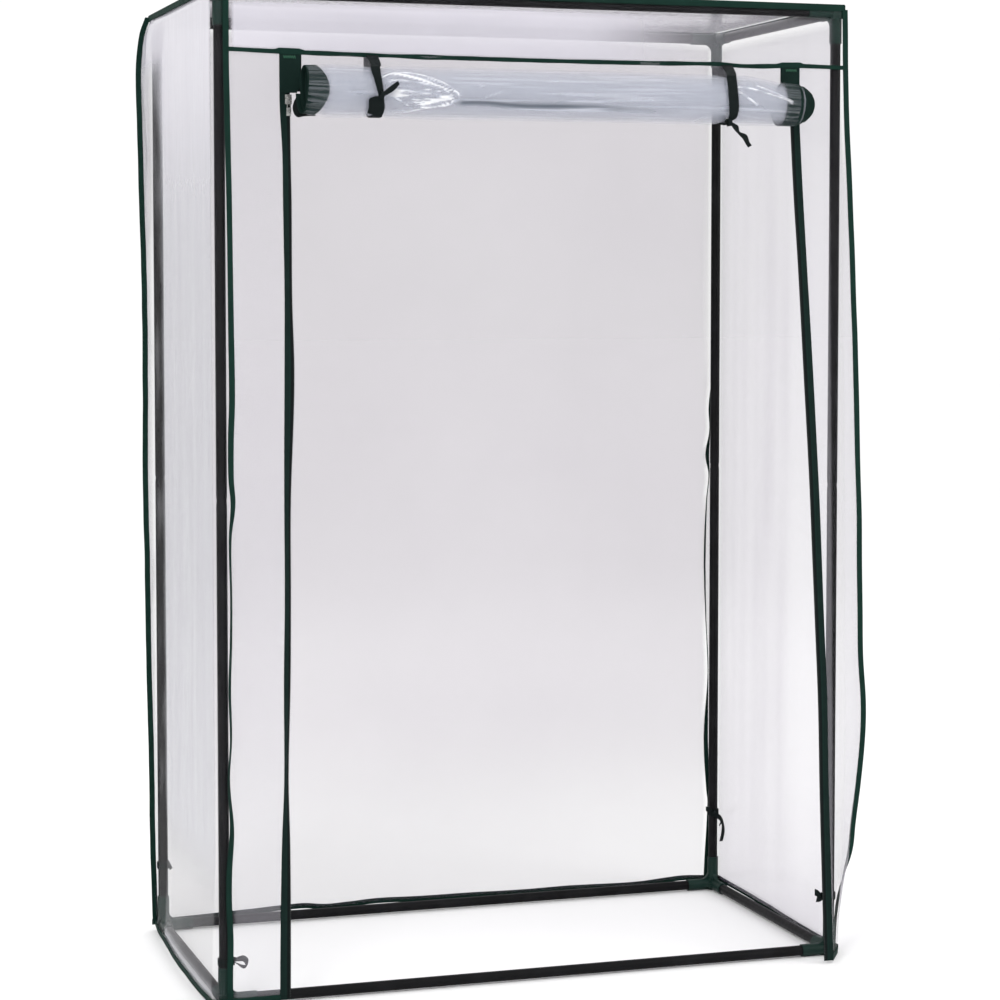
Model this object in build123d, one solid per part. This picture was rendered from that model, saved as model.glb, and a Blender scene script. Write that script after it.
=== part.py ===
from build123d import *
import math
import os

# Mini greenhouse, in millimetres. +Z is up, +X is to the right of someone who faces the door, and the door
# is on the -Y side. The origin is on the ground, in the middle of the whole object's box.

# Frame, over the flat outer faces of its corners
WIDTH = 1000.0
DEPTH = 500.0
HEIGHT = 1500.0

# Powder-coated steel tube
TUBE_OD = 16.0
TUBE_WALL = 0.6
POST_JOINT_Z = 750.0
SPIGOT_LENGTH = 40.0
SPIGOT_TAPER = 6.0
SPIGOT_CLEARANCE = 0.05
NECK_SHOWING = 4.0

# Moulded three-way corner
SOCKET_CLEARANCE = 0.05
SOCKET_WALL = 1.5
HUB_PROUD = 0.45
HUB_ROUND = 2.5
ARM_LENGTH = 58.0
WEB_THICKNESS = 7.0
WEB_RADIUS = 14.0

# Film cover and its binding
FILM = 0.5
BINDING_WIDTH = 9.0
BINDING_THICKNESS = 1.4
HEM_CLEARANCE = 4.0
HIGH_HEM_CLEARANCE = 12.0
VALANCE_DROP = 95.0
COVER_SHIFT = 9.0
CORNER_RETURN = 18.0

# Zips, one on each front strip; the right strip hangs open, with its foot swung out of the doorway
STRIP_WIDTH = 96.0
ZIP_TAPE_WIDTH = 16.0
ZIP_TAPE_THICKNESS = 1.4
PATCH_WIDTH = 30.0
PATCH_LENGTH = 56.5
FLAP_FOOT_SIDEWAYS = 51.0
FLAP_FOOT_FORWARD = 43.0

# Zip slider and pull
SLIDER_WIDTH = 10.0
SLIDER_HEIGHT = 14.0
SLIDER_WALL = 1.4
SLIDER_CLEARANCE = 0.15
SLIDER_NOSE = 2.0
SLIDER_PARK = 1.0
BAIL_WIDTH = 3.0
BAIL_REACH = 4.0
BAIL_HEIGHT = 6.0
PIN_RADIUS = 1.0
PIN_CLEARANCE = 0.05
PULL_SIDE_GAP = 0.3
PULL_ARM = 1.2
PULL_ARM_LENGTH = 12.0
PULL_WIDTH = 7.0
PULL_LENGTH = 24.0
PULL_THICKNESS = 1.2

# Rolled-up door
DOOR_STANDOFF = 0.8
DOOR_SIDE_GAP = 6.0
DOOR_EASE = 0.3
ROLL_RADIUS = 40.0
ROLL_PITCH = 3.6
ROLL_BELOW_SEAM = 13.0
EDGE_TAPE_WIDTH = 25.0
EDGE_TAPE_THICKNESS = 1.2

# Ties of the rolled-up door; a knot's angle is measured round the roll from its back, over the top
TIE_WIDTH = 15.0
TIE_THICKNESS = 1.2
TIE_GAP = 0.4
KNOT_WIDTH = 16.0
KNOT_HEIGHT = 11.0
KNOT_PROUD = 8.0
KNOT_ROUND = 2.0
KNOT_SINK = 0.8
TAIL_WIDTH = 10.0
DOOR_TIES = {
    "left": {"inset": 114.0, "knot_angle": 197.0, "tail": 22.0},
    "right": {"inset": 109.0, "knot_angle": 240.0, "tail": 42.0},
}

# Tapes that tie the cover to the posts, with the height of each above the ground
CORNER_TIE_WIDTH = 10.0
CORNER_TIE_THICKNESS = 1.2
CORNER_TIE_SLACK = 0.05
CORNER_KNOT = 9.0
CORNER_TAIL_LENGTH = 14.0
CORNER_TAB_WIDTH = 6.0
CORNER_TIE_HEIGHTS = {
    "front_left": 66.0,
    "front_right": 95.0,
    "rear_left": 110.0,
    "rear_right": 138.0,
}

# Sizes that follow from the ones above
TUBE_R = TUBE_OD / 2
SOCKET_R = TUBE_R + SOCKET_CLEARANCE
ARM_R = SOCKET_R + SOCKET_WALL
HUB_HALF = ARM_R + HUB_PROUD
ARM_REACH = ARM_LENGTH - HUB_HALF
SOCKET_FLOOR = 2 * HUB_HALF

HALF_WIDTH = WIDTH / 2
DOOR_BACK = ZIP_TAPE_THICKNESS + DOOR_STANDOFF
SEAM_THICKNESS = DOOR_BACK + FILM
ROLL_MIDDLE = DOOR_BACK + FILM / 2 + ROLL_RADIUS
REAR_TIE_R = ROLL_MIDDLE + TIE_THICKNESS
KNOT_REACH = REAR_TIE_R - KNOT_SINK + KNOT_PROUD

FRONT_KNOT = max(-math.cos(math.radians(tie["knot_angle"])) for tie in DOOR_TIES.values())
DOOR_PROUD = ROLL_MIDDLE + KNOT_REACH * FRONT_KNOT
FRONT = -DEPTH / 2 + (DOOR_PROUD - BINDING_THICKNESS) / 2
REAR = FRONT + DEPTH

HEM_TOP = HEM_CLEARANCE + BINDING_WIDTH
HIGH_HEM_TOP = HIGH_HEM_CLEARANCE + BINDING_WIDTH
SEAM_LOW = HEIGHT - VALANCE_DROP - BINDING_WIDTH / 2
SEAM_TOP = SEAM_LOW + BINDING_WIDTH
WALL_TOP = HEIGHT - BINDING_WIDTH
ROOF_TOP = HEIGHT + FILM

RETURN_END = -HALF_WIDTH + CORNER_RETURN
STRIP_START = RETURN_END + BINDING_WIDTH
FRONT_RIGHT_END = HALF_WIDTH + FILM
ZIP_LEFT = -HALF_WIDTH + STRIP_WIDTH + COVER_SHIFT
ZIP_RIGHT = HALF_WIDTH - STRIP_WIDTH + COVER_SHIFT
DOOR_LEFT = ZIP_LEFT + ZIP_TAPE_WIDTH / 2 + DOOR_SIDE_GAP
DOOR_RIGHT = ZIP_RIGHT - ZIP_TAPE_WIDTH / 2 - DOOR_SIDE_GAP

ROLL_Y = FRONT - ROLL_MIDDLE
ROLL_Z = SEAM_LOW - ROLL_BELOW_SEAM - ROLL_RADIUS
ROLLED_LENGTH = ROLL_Z - HEM_CLEARANCE
SLIDER_TOP = SEAM_LOW - PATCH_LENGTH - SLIDER_PARK

os.makedirs("parts", exist_ok=True)


def save(name, shape):
    """Write one piece under its own name."""
    export_step(shape, f"parts/{name}.step")


def block(x, y, z):
    """A box between two values on each axis."""
    sizes = [span[1] - span[0] for span in (x, y, z)]
    middle = [(span[0] + span[1]) / 2 for span in (x, y, z)]
    return Pos(*middle) * Box(*sizes)


def tube(start, end):
    """A straight tube between two points."""
    path = Vector(*end) - Vector(*start)
    plane = Plane(origin=start, z_dir=path)
    ring = Circle(TUBE_R) - Circle(TUBE_R - TUBE_WALL)
    return extrude(plane * ring, path.length)


def lower_post(x, y):
    """Lower post tube, drawn down at its top to a spigot that fits the upper tube's bore."""
    neck = TUBE_R - TUBE_WALL - SPIGOT_CLEARANCE
    taper_start = POST_JOINT_Z - SPIGOT_TAPER
    top = POST_JOINT_Z + SPIGOT_LENGTH
    wall = Polyline(
        (TUBE_R, 0, SOCKET_FLOOR),
        (TUBE_R, 0, taper_start),
        (neck, 0, POST_JOINT_Z),
        (neck, 0, top),
        (neck - TUBE_WALL, 0, top),
        (neck - TUBE_WALL, 0, POST_JOINT_Z),
        (TUBE_R - TUBE_WALL, 0, taper_start),
        (TUBE_R - TUBE_WALL, 0, SOCKET_FLOOR),
        close=True,
    )
    return Pos(x, y, 0) * revolve(make_face(wall), Axis.Z)


def upper_post(x, y):
    """Upper post tube, from the showing neck of the spigot up into the top corner."""
    return tube((x, y, POST_JOINT_Z + NECK_SHOWING), (x, y, HEIGHT - SOCKET_FLOOR))


def corner_web():
    """Curved web between two arms of a corner, in the XY plane of the corner's own frame."""
    side = math.sqrt(ARM_R**2 - (WEB_THICKNESS / 2) ** 2)
    reach = side + WEB_RADIUS
    bulge = reach - WEB_RADIUS * math.sqrt(0.5)
    outline = [
        Polyline((side, reach), (0, reach), (0, 0), (reach, 0), (reach, side)),
        ThreePointArc((reach, side), (bulge, bulge), (side, reach)),
    ]
    return extrude(make_face(outline), WEB_THICKNESS / 2, both=True)


def corner():
    """Three-way corner about its hub's middle, with its sockets opening along +X, +Y and +Z."""
    hub = Box(2 * HUB_HALF, 2 * HUB_HALF, 2 * HUB_HALF)
    shape = fillet(hub.edges(), HUB_ROUND)
    planes = (Plane.XY, Plane.YZ, Plane.ZX)
    for plane in planes:
        shape += extrude(plane * Circle(ARM_R), ARM_REACH)
        shape += plane * corner_web()
    for plane in planes:
        shape -= extrude(plane.offset(HUB_HALF) * Circle(SOCKET_R), ARM_REACH - HUB_HALF)
    return shape


def placed_corner(shape, right, rear, top):
    """A corner turned to its place on the frame by mirroring, so its sockets face the other corners."""
    if right:
        shape = mirror(shape, Plane.YZ)
    if rear:
        shape = mirror(shape, Plane.XZ)
    if top:
        shape = mirror(shape, Plane.XY)
    return Pos(post_x(right), post_y(rear), HEIGHT - HUB_HALF if top else HUB_HALF) * shape


def post_x(right):
    return HALF_WIDTH - HUB_HALF if right else HUB_HALF - HALF_WIDTH


def post_y(rear):
    return REAR - HUB_HALF if rear else FRONT + HUB_HALF


def wrapped_wall(thickness, z):
    """The left wall with its narrow return round the front left corner."""
    side = block((-HALF_WIDTH - thickness, -HALF_WIDTH), (FRONT, REAR), z)
    front = block((-HALF_WIDTH - thickness, RETURN_END), (FRONT - thickness, FRONT), z)
    return side + front


def half_turned(shape):
    """The shape turned half a turn about the middle of the frame, left to right and front to rear."""
    middle = (FRONT + REAR) / 2
    return Pos(0, middle, 0) * Rot(0, 0, 180) * Pos(0, -middle, 0) * shape


def flap_shift(z):
    """How far the right zip has moved sideways and forward at a height."""
    share = (SEAM_LOW - z) / (SEAM_LOW - HEM_CLEARANCE)
    return FLAP_FOOT_SIDEWAYS * share, FLAP_FOOT_FORWARD * share


def flap_edge(z):
    """The point at a height where the right front strip meets its swung-out zip."""
    sideways, forward = flap_shift(z)
    return ZIP_RIGHT + ZIP_TAPE_WIDTH / 2 + sideways, FRONT - forward, z


def right_flap(thickness, z):
    """Stretch of the right front strip between two heights, folded on a diagonal to reach the swung-out zip."""
    low, high = z
    corner_foot = (FRONT_RIGHT_END, FRONT, low)
    corner_head = (FRONT_RIGHT_END, FRONT, high)
    flat_half = Polyline(corner_foot, corner_head, flap_edge(high), close=True)
    swung_half = Polyline(corner_foot, flap_edge(high), flap_edge(low), close=True)
    outward = Vector(0, -1, 0)
    flat = extrude(make_face(flat_half), thickness, dir=outward)
    swung = extrude(make_face(swung_half), thickness, dir=outward)
    return flat + swung


def hung(x, y, z, leaning):
    """A straight prism between two heights that follows the right zip's lean, or hangs plumb."""
    low, high = z
    shift_high = flap_shift(high) if leaning else (0.0, 0.0)
    shift_low = flap_shift(low) if leaning else (0.0, 0.0)
    width = x[1] - x[0]
    depth = y[1] - y[0]
    centre = (x[0] + width / 2 + shift_high[0], y[0] + depth / 2 - shift_high[1], high)
    fall = Vector(shift_low[0] - shift_high[0], shift_high[1] - shift_low[1], low - high)
    return extrude(Pos(*centre) * Rectangle(width, depth), fall.length, dir=fall)


def zip_tape(right):
    """Zip tape sewn to a front strip, with the wide patch where both halves run up into the seam."""
    middle = ZIP_RIGHT if right else ZIP_LEFT
    inward = -1 if right else 1
    outer = middle - inward * ZIP_TAPE_WIDTH / 2
    y = (FRONT - ZIP_TAPE_THICKNESS, FRONT)
    edges = (middle - ZIP_TAPE_WIDTH / 2, middle + ZIP_TAPE_WIDTH / 2)
    tape = hung(edges, y, (HEM_CLEARANCE, SEAM_LOW), right)
    patch_x = sorted((outer, outer + inward * PATCH_WIDTH))
    return tape + block(patch_x, y, (SEAM_LOW - PATCH_LENGTH, SEAM_LOW))


def slider_frame(right):
    """The side that faces the door, its X, and the middle X of a slider, without the zip's lean."""
    middle = ZIP_RIGHT if right else ZIP_LEFT
    inward = -1 if right else 1
    nose = middle + inward * (ZIP_TAPE_WIDTH / 2 + SLIDER_NOSE)
    return inward, nose, nose - inward * SLIDER_WIDTH / 2


def slider_front():
    """Y of a slider's front face, without the zip's lean."""
    return FRONT - ZIP_TAPE_THICKNESS - SLIDER_CLEARANCE - SLIDER_WALL


def pin_centre(right):
    """Middle of the pin that a pull swings on."""
    middle = slider_frame(right)[2]
    z = SLIDER_TOP - SLIDER_HEIGHT / 2
    sideways, forward = flap_shift(z) if right else (0.0, 0.0)
    return middle + sideways, slider_front() - forward - BAIL_REACH / 2, z


def zip_slider(right):
    """Slider with a slot that runs on the tape's inner edge, and a bail in front for its pull."""
    inward, nose, middle = slider_frame(right)
    z = (SLIDER_TOP - SLIDER_HEIGHT, SLIDER_TOP)
    back = FRONT + SLIDER_CLEARANCE + SLIDER_WALL
    heel = nose - inward * SLIDER_WIDTH
    slot_end = nose - inward * (SLIDER_NOSE - SLIDER_CLEARANCE)
    body = hung(sorted((heel, nose)), (slider_front(), back), z, right)
    slot_x = sorted((heel - inward * SLIDER_CLEARANCE, slot_end))
    slot_y = (FRONT - ZIP_TAPE_THICKNESS - SLIDER_CLEARANCE, FRONT + SLIDER_CLEARANCE)
    x, y, pin_z = pin_centre(right)
    bail = block(
        (x - BAIL_WIDTH / 2, x + BAIL_WIDTH / 2),
        (y - BAIL_REACH / 2, y + BAIL_REACH / 2 + SLIDER_WALL / 2),
        (pin_z - BAIL_HEIGHT / 2, pin_z + BAIL_HEIGHT / 2),
    )
    eye = Pos(x, y, pin_z) * Rot(0, 90, 0) * Cylinder(PIN_RADIUS + PIN_CLEARANCE, 2 * BAIL_WIDTH)
    return body + bail - hung(slot_x, slot_y, z, right) - eye


def zip_pull(right):
    """Pull tab: a pin through the bail, an arm each side of it, and the tab that hangs below."""
    x, y, z = pin_centre(right)
    inside = BAIL_WIDTH / 2 + PULL_SIDE_GAP
    outside = inside + PULL_ARM
    tab_top = z - PULL_ARM_LENGTH
    shape = Pos(x, y, z) * Rot(0, 90, 0) * Cylinder(PIN_RADIUS, 2 * outside)
    half = PULL_THICKNESS / 2
    for side in (-1, 1):
        edges = sorted((x + side * inside, x + side * outside))
        shape += block(edges, (y - PIN_RADIUS, y + PIN_RADIUS), (tab_top - PULL_ARM, z + PIN_RADIUS))
    tab_x = (x - PULL_WIDTH / 2, x + PULL_WIDTH / 2)
    shape += block(tab_x, (y - half, y + half), (z - PULL_LENGTH, tab_top))
    return shape


def roll_turns():
    """Half turns of the door's spiral as (middle Y, radius, sense), until the whole door is wound."""
    turns = []
    start = ROLL_Y + ROLL_RADIUS
    radius = ROLL_RADIUS
    wound = 0.0
    sense = -1
    while wound < ROLLED_LENGTH and radius > ROLL_PITCH:
        turns.append((start + sense * radius, radius, sense))
        start += 2 * sense * radius
        wound += math.pi * radius
        radius -= ROLL_PITCH / 2
        sense = -sense
    return turns


def roll_section(thickness):
    """Cut through the rolled door: one sheet, wound in half turns about the line of the roll's middle."""
    outer = []
    inner = []
    for middle, radius, sense in roll_turns():
        for edges, half in ((outer, thickness / 2), (inner, -thickness / 2)):
            r = radius + half
            first = (0, middle - sense * r, ROLL_Z)
            crown = (0, middle, ROLL_Z + sense * r)
            last = (0, middle + sense * r, ROLL_Z)
            edges.append(ThreePointArc(first, crown, last))
    caps = [Line(outer[0] @ 0, inner[0] @ 0), Line(outer[-1] @ 1, inner[-1] @ 1)]
    return make_face(outer + inner + caps)


def roll_piece(thickness, x):
    """A length of the roll between two values of X."""
    return extrude(Pos(x[0], 0, 0) * roll_section(thickness), x[1] - x[0], dir=(1, 0, 0))


def roll_gap(thickness):
    """Least gap between neighbouring turns of the roll, measured on points along them."""
    turns = roll_turns()
    steps = 24
    least = math.inf
    for (middle, radius, sense), (next_middle, next_radius, _) in zip(turns, turns[2:]):
        for step in range(steps + 1):
            angle = math.pi * step / steps
            y = middle + radius * math.cos(angle)
            z = sense * radius * math.sin(angle)
            least = min(least, math.hypot(y - next_middle, z) - next_radius)
    return least - thickness


def on_roll(radius, angle):
    """A point round the roll: 0 degrees is its back, 90 its top and 180 its front."""
    turn = math.radians(angle)
    return 0, ROLL_Y + radius * math.cos(turn), ROLL_Z + radius * math.sin(turn)


def round_roll(radius, start, end):
    """An arc round the roll between two angles."""
    return ThreePointArc(on_roll(radius, start), on_roll(radius, (start + end) / 2), on_roll(radius, end))


def front_tie(x, knot_angle):
    """Front tape of a pair: sewn on the seam, led over the top of the roll and down its front to the knot."""
    inner = ROLL_RADIUS + FILM / 2 + TIE_GAP
    outer = inner + TIE_THICKNESS
    middle = (inner + outer) / 2
    sewn = (FRONT - SEAM_THICKNESS - TIE_THICKNESS, FRONT - SEAM_THICKNESS)
    across = (sewn[0] + sewn[1]) / 2 - ROLL_Y
    above = (SEAM_LOW + SEAM_TOP) / 2 - ROLL_Z
    touch = math.degrees(math.atan2(above, across) + math.acos(middle / math.hypot(across, above)))
    leave = Vector(0, ROLL_Y + across, ROLL_Z + above)
    normal = Vector(*on_roll(1, touch)) - Vector(0, ROLL_Y, ROLL_Z)
    half = normal * (TIE_THICKNESS / 2)
    edges = [
        Line(leave + half, on_roll(outer, touch)),
        round_roll(outer, touch, knot_angle),
        Line(on_roll(outer, knot_angle), on_roll(inner, knot_angle)),
        round_roll(inner, knot_angle, touch),
        Line(on_roll(inner, touch), leave - half),
        Line(leave - half, leave + half),
    ]
    span = (x - TIE_WIDTH / 2, x + TIE_WIDTH / 2)
    ribbon = extrude(Pos(span[0], 0, 0) * make_face(edges), TIE_WIDTH, dir=(1, 0, 0))
    return ribbon + block(span, sewn, (SEAM_LOW, SEAM_TOP))


def rear_tie(x, knot_angle, tail):
    """Rear tape of a pair: from behind the seam down inside the door, under the roll and up to its knot."""
    inner = REAR_TIE_R - TIE_THICKNESS
    span = (x - TIE_WIDTH / 2, x + TIE_WIDTH / 2)
    end = knot_angle - 360
    edges = [
        round_roll(REAR_TIE_R, 0, end),
        Line(on_roll(REAR_TIE_R, end), on_roll(inner, end)),
        round_roll(inner, end, 0),
        Line(on_roll(inner, 0), on_roll(REAR_TIE_R, 0)),
    ]
    shape = extrude(Pos(span[0], 0, 0) * make_face(edges), TIE_WIDTH, dir=(1, 0, 0))
    shape += block(span, (FRONT, FRONT + TIE_THICKNESS), (ROLL_Z, SEAM_TOP))
    knot = fillet(Box(KNOT_WIDTH, KNOT_PROUD, KNOT_HEIGHT).edges(), KNOT_ROUND)
    _, knot_y, knot_z = on_roll(KNOT_REACH - KNOT_PROUD / 2, knot_angle)
    shape += Pos(x, knot_y, knot_z) * Rot(knot_angle, 0, 0) * knot
    tail_y = (knot_y - TIE_THICKNESS / 2, knot_y + TIE_THICKNESS / 2)
    tail_x = (x + KNOT_WIDTH / 2 - TAIL_WIDTH, x + KNOT_WIDTH / 2)
    return shape + block(tail_x, tail_y, (knot_z - tail, knot_z))


def corner_tie(right, rear, height):
    """Tape round a post with a tab to the cover, a knot and its tails on the side towards the doorway."""
    x = post_x(right)
    y = post_y(rear)
    inward = -1 if right else 1
    inner = TUBE_R + CORNER_TIE_SLACK
    outer = inner + CORNER_TIE_THICKNESS
    half = CORNER_TIE_WIDTH / 2
    band = (height - half, height + half)
    ring = extrude(Pos(x, y, band[0]) * (Circle(outer) - Circle(inner)), CORNER_TIE_WIDTH)
    wall = REAR if rear else FRONT
    tab_y = sorted((wall, y + (inner if rear else -inner)))
    tab = block((x - CORNER_TAB_WIDTH / 2, x + CORNER_TAB_WIDTH / 2), tab_y, band)
    tab -= Pos(x, y, height) * Cylinder(inner, CORNER_TIE_WIDTH)
    knot_start = x + inward * (outer - CORNER_TIE_THICKNESS / 2)
    knot_end = knot_start + inward * CORNER_KNOT
    knot = block(sorted((knot_start, knot_end)), (y - CORNER_KNOT / 2, y + CORNER_KNOT / 2), band)
    thick = CORNER_TIE_THICKNESS / 2
    loop_x = sorted((knot_end - inward * CORNER_TIE_THICKNESS, knot_end + inward * CORNER_TAIL_LENGTH))
    loop = block(loop_x, (y - half, y + half), (height - thick, height + thick))
    tail_x = sorted((knot_end - inward * CORNER_TAIL_LENGTH / 2, knot_end))
    tail = block(tail_x, (y - thick, y + thick), (band[0] - CORNER_TAIL_LENGTH, height))
    return ring + tab + knot + loop + tail


def frame_pieces():
    """Tubes and corners of the frame."""
    plain = corner()
    for rear in (False, True):
        y = post_y(rear)
        depth_name = "rear" if rear else "front"
        for right in (False, True):
            x = post_x(right)
            name = f"{depth_name}_{'right' if right else 'left'}"
            save(f"{name}_lower_post", lower_post(x, y))
            save(f"{name}_upper_post", upper_post(x, y))
            save(f"{name}_base_corner", placed_corner(plain, right, rear, False))
            save(f"{name}_top_corner", placed_corner(plain, right, rear, True))
    for level, z in (("base", HUB_HALF), ("top", HEIGHT - HUB_HALF)):
        end = HALF_WIDTH - SOCKET_FLOOR
        for depth_name, y in (("front", post_y(False)), ("rear", post_y(True))):
            save(f"{depth_name}_{level}_rail", tube((-end, y, z), (end, y, z)))
        for side_name, x in (("left", post_x(False)), ("right", post_x(True))):
            save(f"{side_name}_{level}_rail", tube((x, FRONT + SOCKET_FLOOR, z), (x, REAR - SOCKET_FLOOR, z)))


def film_pieces():
    """Film panels of the cover."""
    left_z = (HEM_TOP, WALL_TOP)
    high_z = (HIGH_HEM_TOP, WALL_TOP)
    front_y = (FRONT - FILM, FRONT)
    strip_end = ZIP_LEFT - ZIP_TAPE_WIDTH / 2
    save("roof_panel", block((-HALF_WIDTH, HALF_WIDTH), (FRONT, REAR), (HEIGHT, ROOF_TOP)))
    save("left_panel", wrapped_wall(FILM, left_z))
    save("right_panel", half_turned(wrapped_wall(FILM, high_z)))
    save("rear_panel", block((-HALF_WIDTH - FILM, -STRIP_START), (REAR, REAR + FILM), high_z))
    save("front_valance", block((STRIP_START, FRONT_RIGHT_END), front_y, (SEAM_TOP, WALL_TOP)))
    save("left_front_strip", block((STRIP_START, strip_end), front_y, (HEM_TOP, SEAM_LOW)))
    save("right_front_strip", right_flap(FILM, (HEM_TOP, SEAM_LOW)))


def binding_pieces():
    """Fabric binding on the edges, the seam and the hems of the cover."""
    front_y = (FRONT - BINDING_THICKNESS, FRONT)
    rear_y = (REAR, REAR + BINDING_THICKNESS)
    edge_z = (HEM_CLEARANCE, WALL_TOP)
    high_edge_z = (HIGH_HEM_CLEARANCE, WALL_TOP)
    roof_z = (WALL_TOP, ROOF_TOP)
    hem_z = (HEM_CLEARANCE, HEM_TOP)
    high_hem_z = (HIGH_HEM_CLEARANCE, HIGH_HEM_TOP)
    fin = (HALF_WIDTH + FILM, HALF_WIDTH + FILM + BINDING_WIDTH)
    left_fin = (-fin[1], -fin[0])
    left_x = (-HALF_WIDTH - BINDING_THICKNESS, -HALF_WIDTH)
    right_x = (HALF_WIDTH, HALF_WIDTH + BINDING_THICKNESS)
    full_x = (left_x[0], right_x[1])
    save("front_left_edge_binding", block((RETURN_END, STRIP_START), front_y, edge_z))
    save("front_right_edge_binding", block(fin, front_y, edge_z))
    save("rear_left_edge_binding", block(left_fin, rear_y, edge_z))
    save("rear_right_edge_binding", block((-STRIP_START, -RETURN_END), rear_y, high_edge_z))
    save("front_roof_binding", block(full_x, front_y, roof_z))
    save("rear_roof_binding", block(full_x, rear_y, roof_z))
    save("left_roof_binding", block(left_x, (FRONT, REAR), roof_z))
    save("right_roof_binding", block(right_x, (FRONT, REAR), roof_z))
    seam_y = (FRONT - SEAM_THICKNESS, FRONT)
    save("valance_binding", block((STRIP_START, FRONT_RIGHT_END), seam_y, (SEAM_LOW, SEAM_TOP)))
    save("left_hem", wrapped_wall(BINDING_THICKNESS, hem_z))
    save("right_hem", half_turned(wrapped_wall(BINDING_THICKNESS, high_hem_z)))
    save("rear_hem", block((-fin[0], -STRIP_START), rear_y, high_hem_z))
    strip_x = (STRIP_START, ZIP_LEFT - ZIP_TAPE_WIDTH / 2)
    save("left_strip_hem", block(strip_x, front_y, hem_z))
    save("right_strip_hem", right_flap(BINDING_THICKNESS, hem_z))


def zip_pieces():
    """Zip tapes, sliders and pulls."""
    for name, right in (("left", False), ("right", True)):
        save(f"{name}_zip_tape", zip_tape(right))
        save(f"{name}_zip_slider", zip_slider(right))
        save(f"{name}_zip_pull", zip_pull(right))


def door_pieces():
    """The door's flat stretch under the seam, and its roll of film with the zip tapes wound in."""
    sheet_y = (FRONT - SEAM_THICKNESS, FRONT - DOOR_BACK)
    save("door_sheet", block((DOOR_LEFT, DOOR_RIGHT), sheet_y, (ROLL_Z + DOOR_EASE, SEAM_LOW)))
    film_x = (DOOR_LEFT + EDGE_TAPE_WIDTH, DOOR_RIGHT - EDGE_TAPE_WIDTH)
    save("door_roll", roll_piece(FILM, film_x))
    save("door_left_edge_tape", roll_piece(EDGE_TAPE_THICKNESS, (DOOR_LEFT, film_x[0])))
    save("door_right_edge_tape", roll_piece(EDGE_TAPE_THICKNESS, (film_x[1], DOOR_RIGHT)))
    print("half turns in the roll", len(roll_turns()))
    print("least gap in the roll", round(roll_gap(EDGE_TAPE_THICKNESS), 3))


def tie_pieces():
    """Ties of the rolled-up door, and the tapes that hold the cover to the posts."""
    for name, tie in DOOR_TIES.items():
        x = DOOR_LEFT + tie["inset"] if name == "left" else DOOR_RIGHT - tie["inset"]
        save(f"{name}_front_tie", front_tie(x, tie["knot_angle"]))
        save(f"{name}_rear_tie", rear_tie(x, tie["knot_angle"], tie["tail"]))
    tapes = []
    for name, height in CORNER_TIE_HEIGHTS.items():
        tapes.append(corner_tie("right" in name, "rear" in name, height))
    save("corner_ties", Compound(children=tapes))


frame_pieces()
film_pieces()
binding_pieces()
zip_pieces()
door_pieces()
tie_pieces()
for side in (False, True):
    print("pull pin", [round(value, 3) for value in pin_centre(side)])
print("front", FRONT, "rear", REAR, "roll", round(ROLL_Y, 3), ROLL_Z)
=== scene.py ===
import math

import bmesh
import bpy
from mathutils import Matrix, Vector, noise
from mathutils.geometry import intersect_point_line


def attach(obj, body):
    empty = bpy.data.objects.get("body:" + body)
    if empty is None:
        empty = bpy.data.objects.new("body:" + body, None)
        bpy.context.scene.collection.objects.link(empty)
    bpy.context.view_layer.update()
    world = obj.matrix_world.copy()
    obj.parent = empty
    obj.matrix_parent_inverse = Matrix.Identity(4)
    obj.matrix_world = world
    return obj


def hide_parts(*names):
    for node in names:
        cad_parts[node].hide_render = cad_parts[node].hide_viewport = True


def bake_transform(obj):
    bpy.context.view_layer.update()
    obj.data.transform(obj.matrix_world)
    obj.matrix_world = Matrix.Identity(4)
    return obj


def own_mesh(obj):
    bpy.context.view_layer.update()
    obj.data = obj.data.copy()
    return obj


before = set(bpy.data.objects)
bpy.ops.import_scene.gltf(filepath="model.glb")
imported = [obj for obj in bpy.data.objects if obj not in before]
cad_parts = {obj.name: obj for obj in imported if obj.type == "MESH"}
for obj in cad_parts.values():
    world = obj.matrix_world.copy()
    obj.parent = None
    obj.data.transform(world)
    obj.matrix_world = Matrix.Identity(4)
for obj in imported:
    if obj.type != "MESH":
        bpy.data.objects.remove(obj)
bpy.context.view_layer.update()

scene = bpy.context.scene
mm = 0.001
root = "frame_and_cover"
# lengths are in millimetres here, and pieces are scaled to metres as they are made
house = {"front": -205.16, "rear": 294.84, "side": 500.25, "roof": 1500.3, "wallTop": 1494.0, "film": 0.35}


def ease(t):
    t = min(max(t, 0.0), 1.0)
    return t * t * (3 - 2 * t)


def fade(t):
    return 1 - ease(t)


def bell(distance, width):
    return math.exp(-((distance / width) ** 2))


def ripple(x, y=0.0, z=0.0):
    return noise.noise(Vector((x, y, z)))


def along(keys, at):  # smooth line through (place, value) keys
    if at <= keys[0][0]:
        return keys[0][1]
    if at >= keys[-1][0]:
        return keys[-1][1]
    k = next(i for i in range(len(keys) - 1) if at <= keys[i + 1][0])
    last = len(keys) - 1

    def slope(i):
        a, b = keys[max(i - 1, 0)], keys[min(i + 1, last)]
        return (b[1] - a[1]) / (b[0] - a[0])

    (p, a), (q, b) = keys[k], keys[k + 1]
    w = q - p
    t = (at - p) / w
    rise = t * t * (3 - 2 * t)
    return a + (b - a) * rise + w * ((t - 2) * t + 1) * t * slope(k) + w * (t - 1) * t * t * slope(k + 1)


# materials

def startMaterial(name, colour, **sockets):
    material = bpy.data.materials.new(name)
    material.use_nodes = True
    shader = material.node_tree.nodes["Principled BSDF"]
    shader.inputs["Base Color"].default_value = (*colour, 1)
    for socket, value in sockets.items():
        shader.inputs[socket.replace("_", " ")].default_value = value
    return material, material.node_tree, shader


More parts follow.
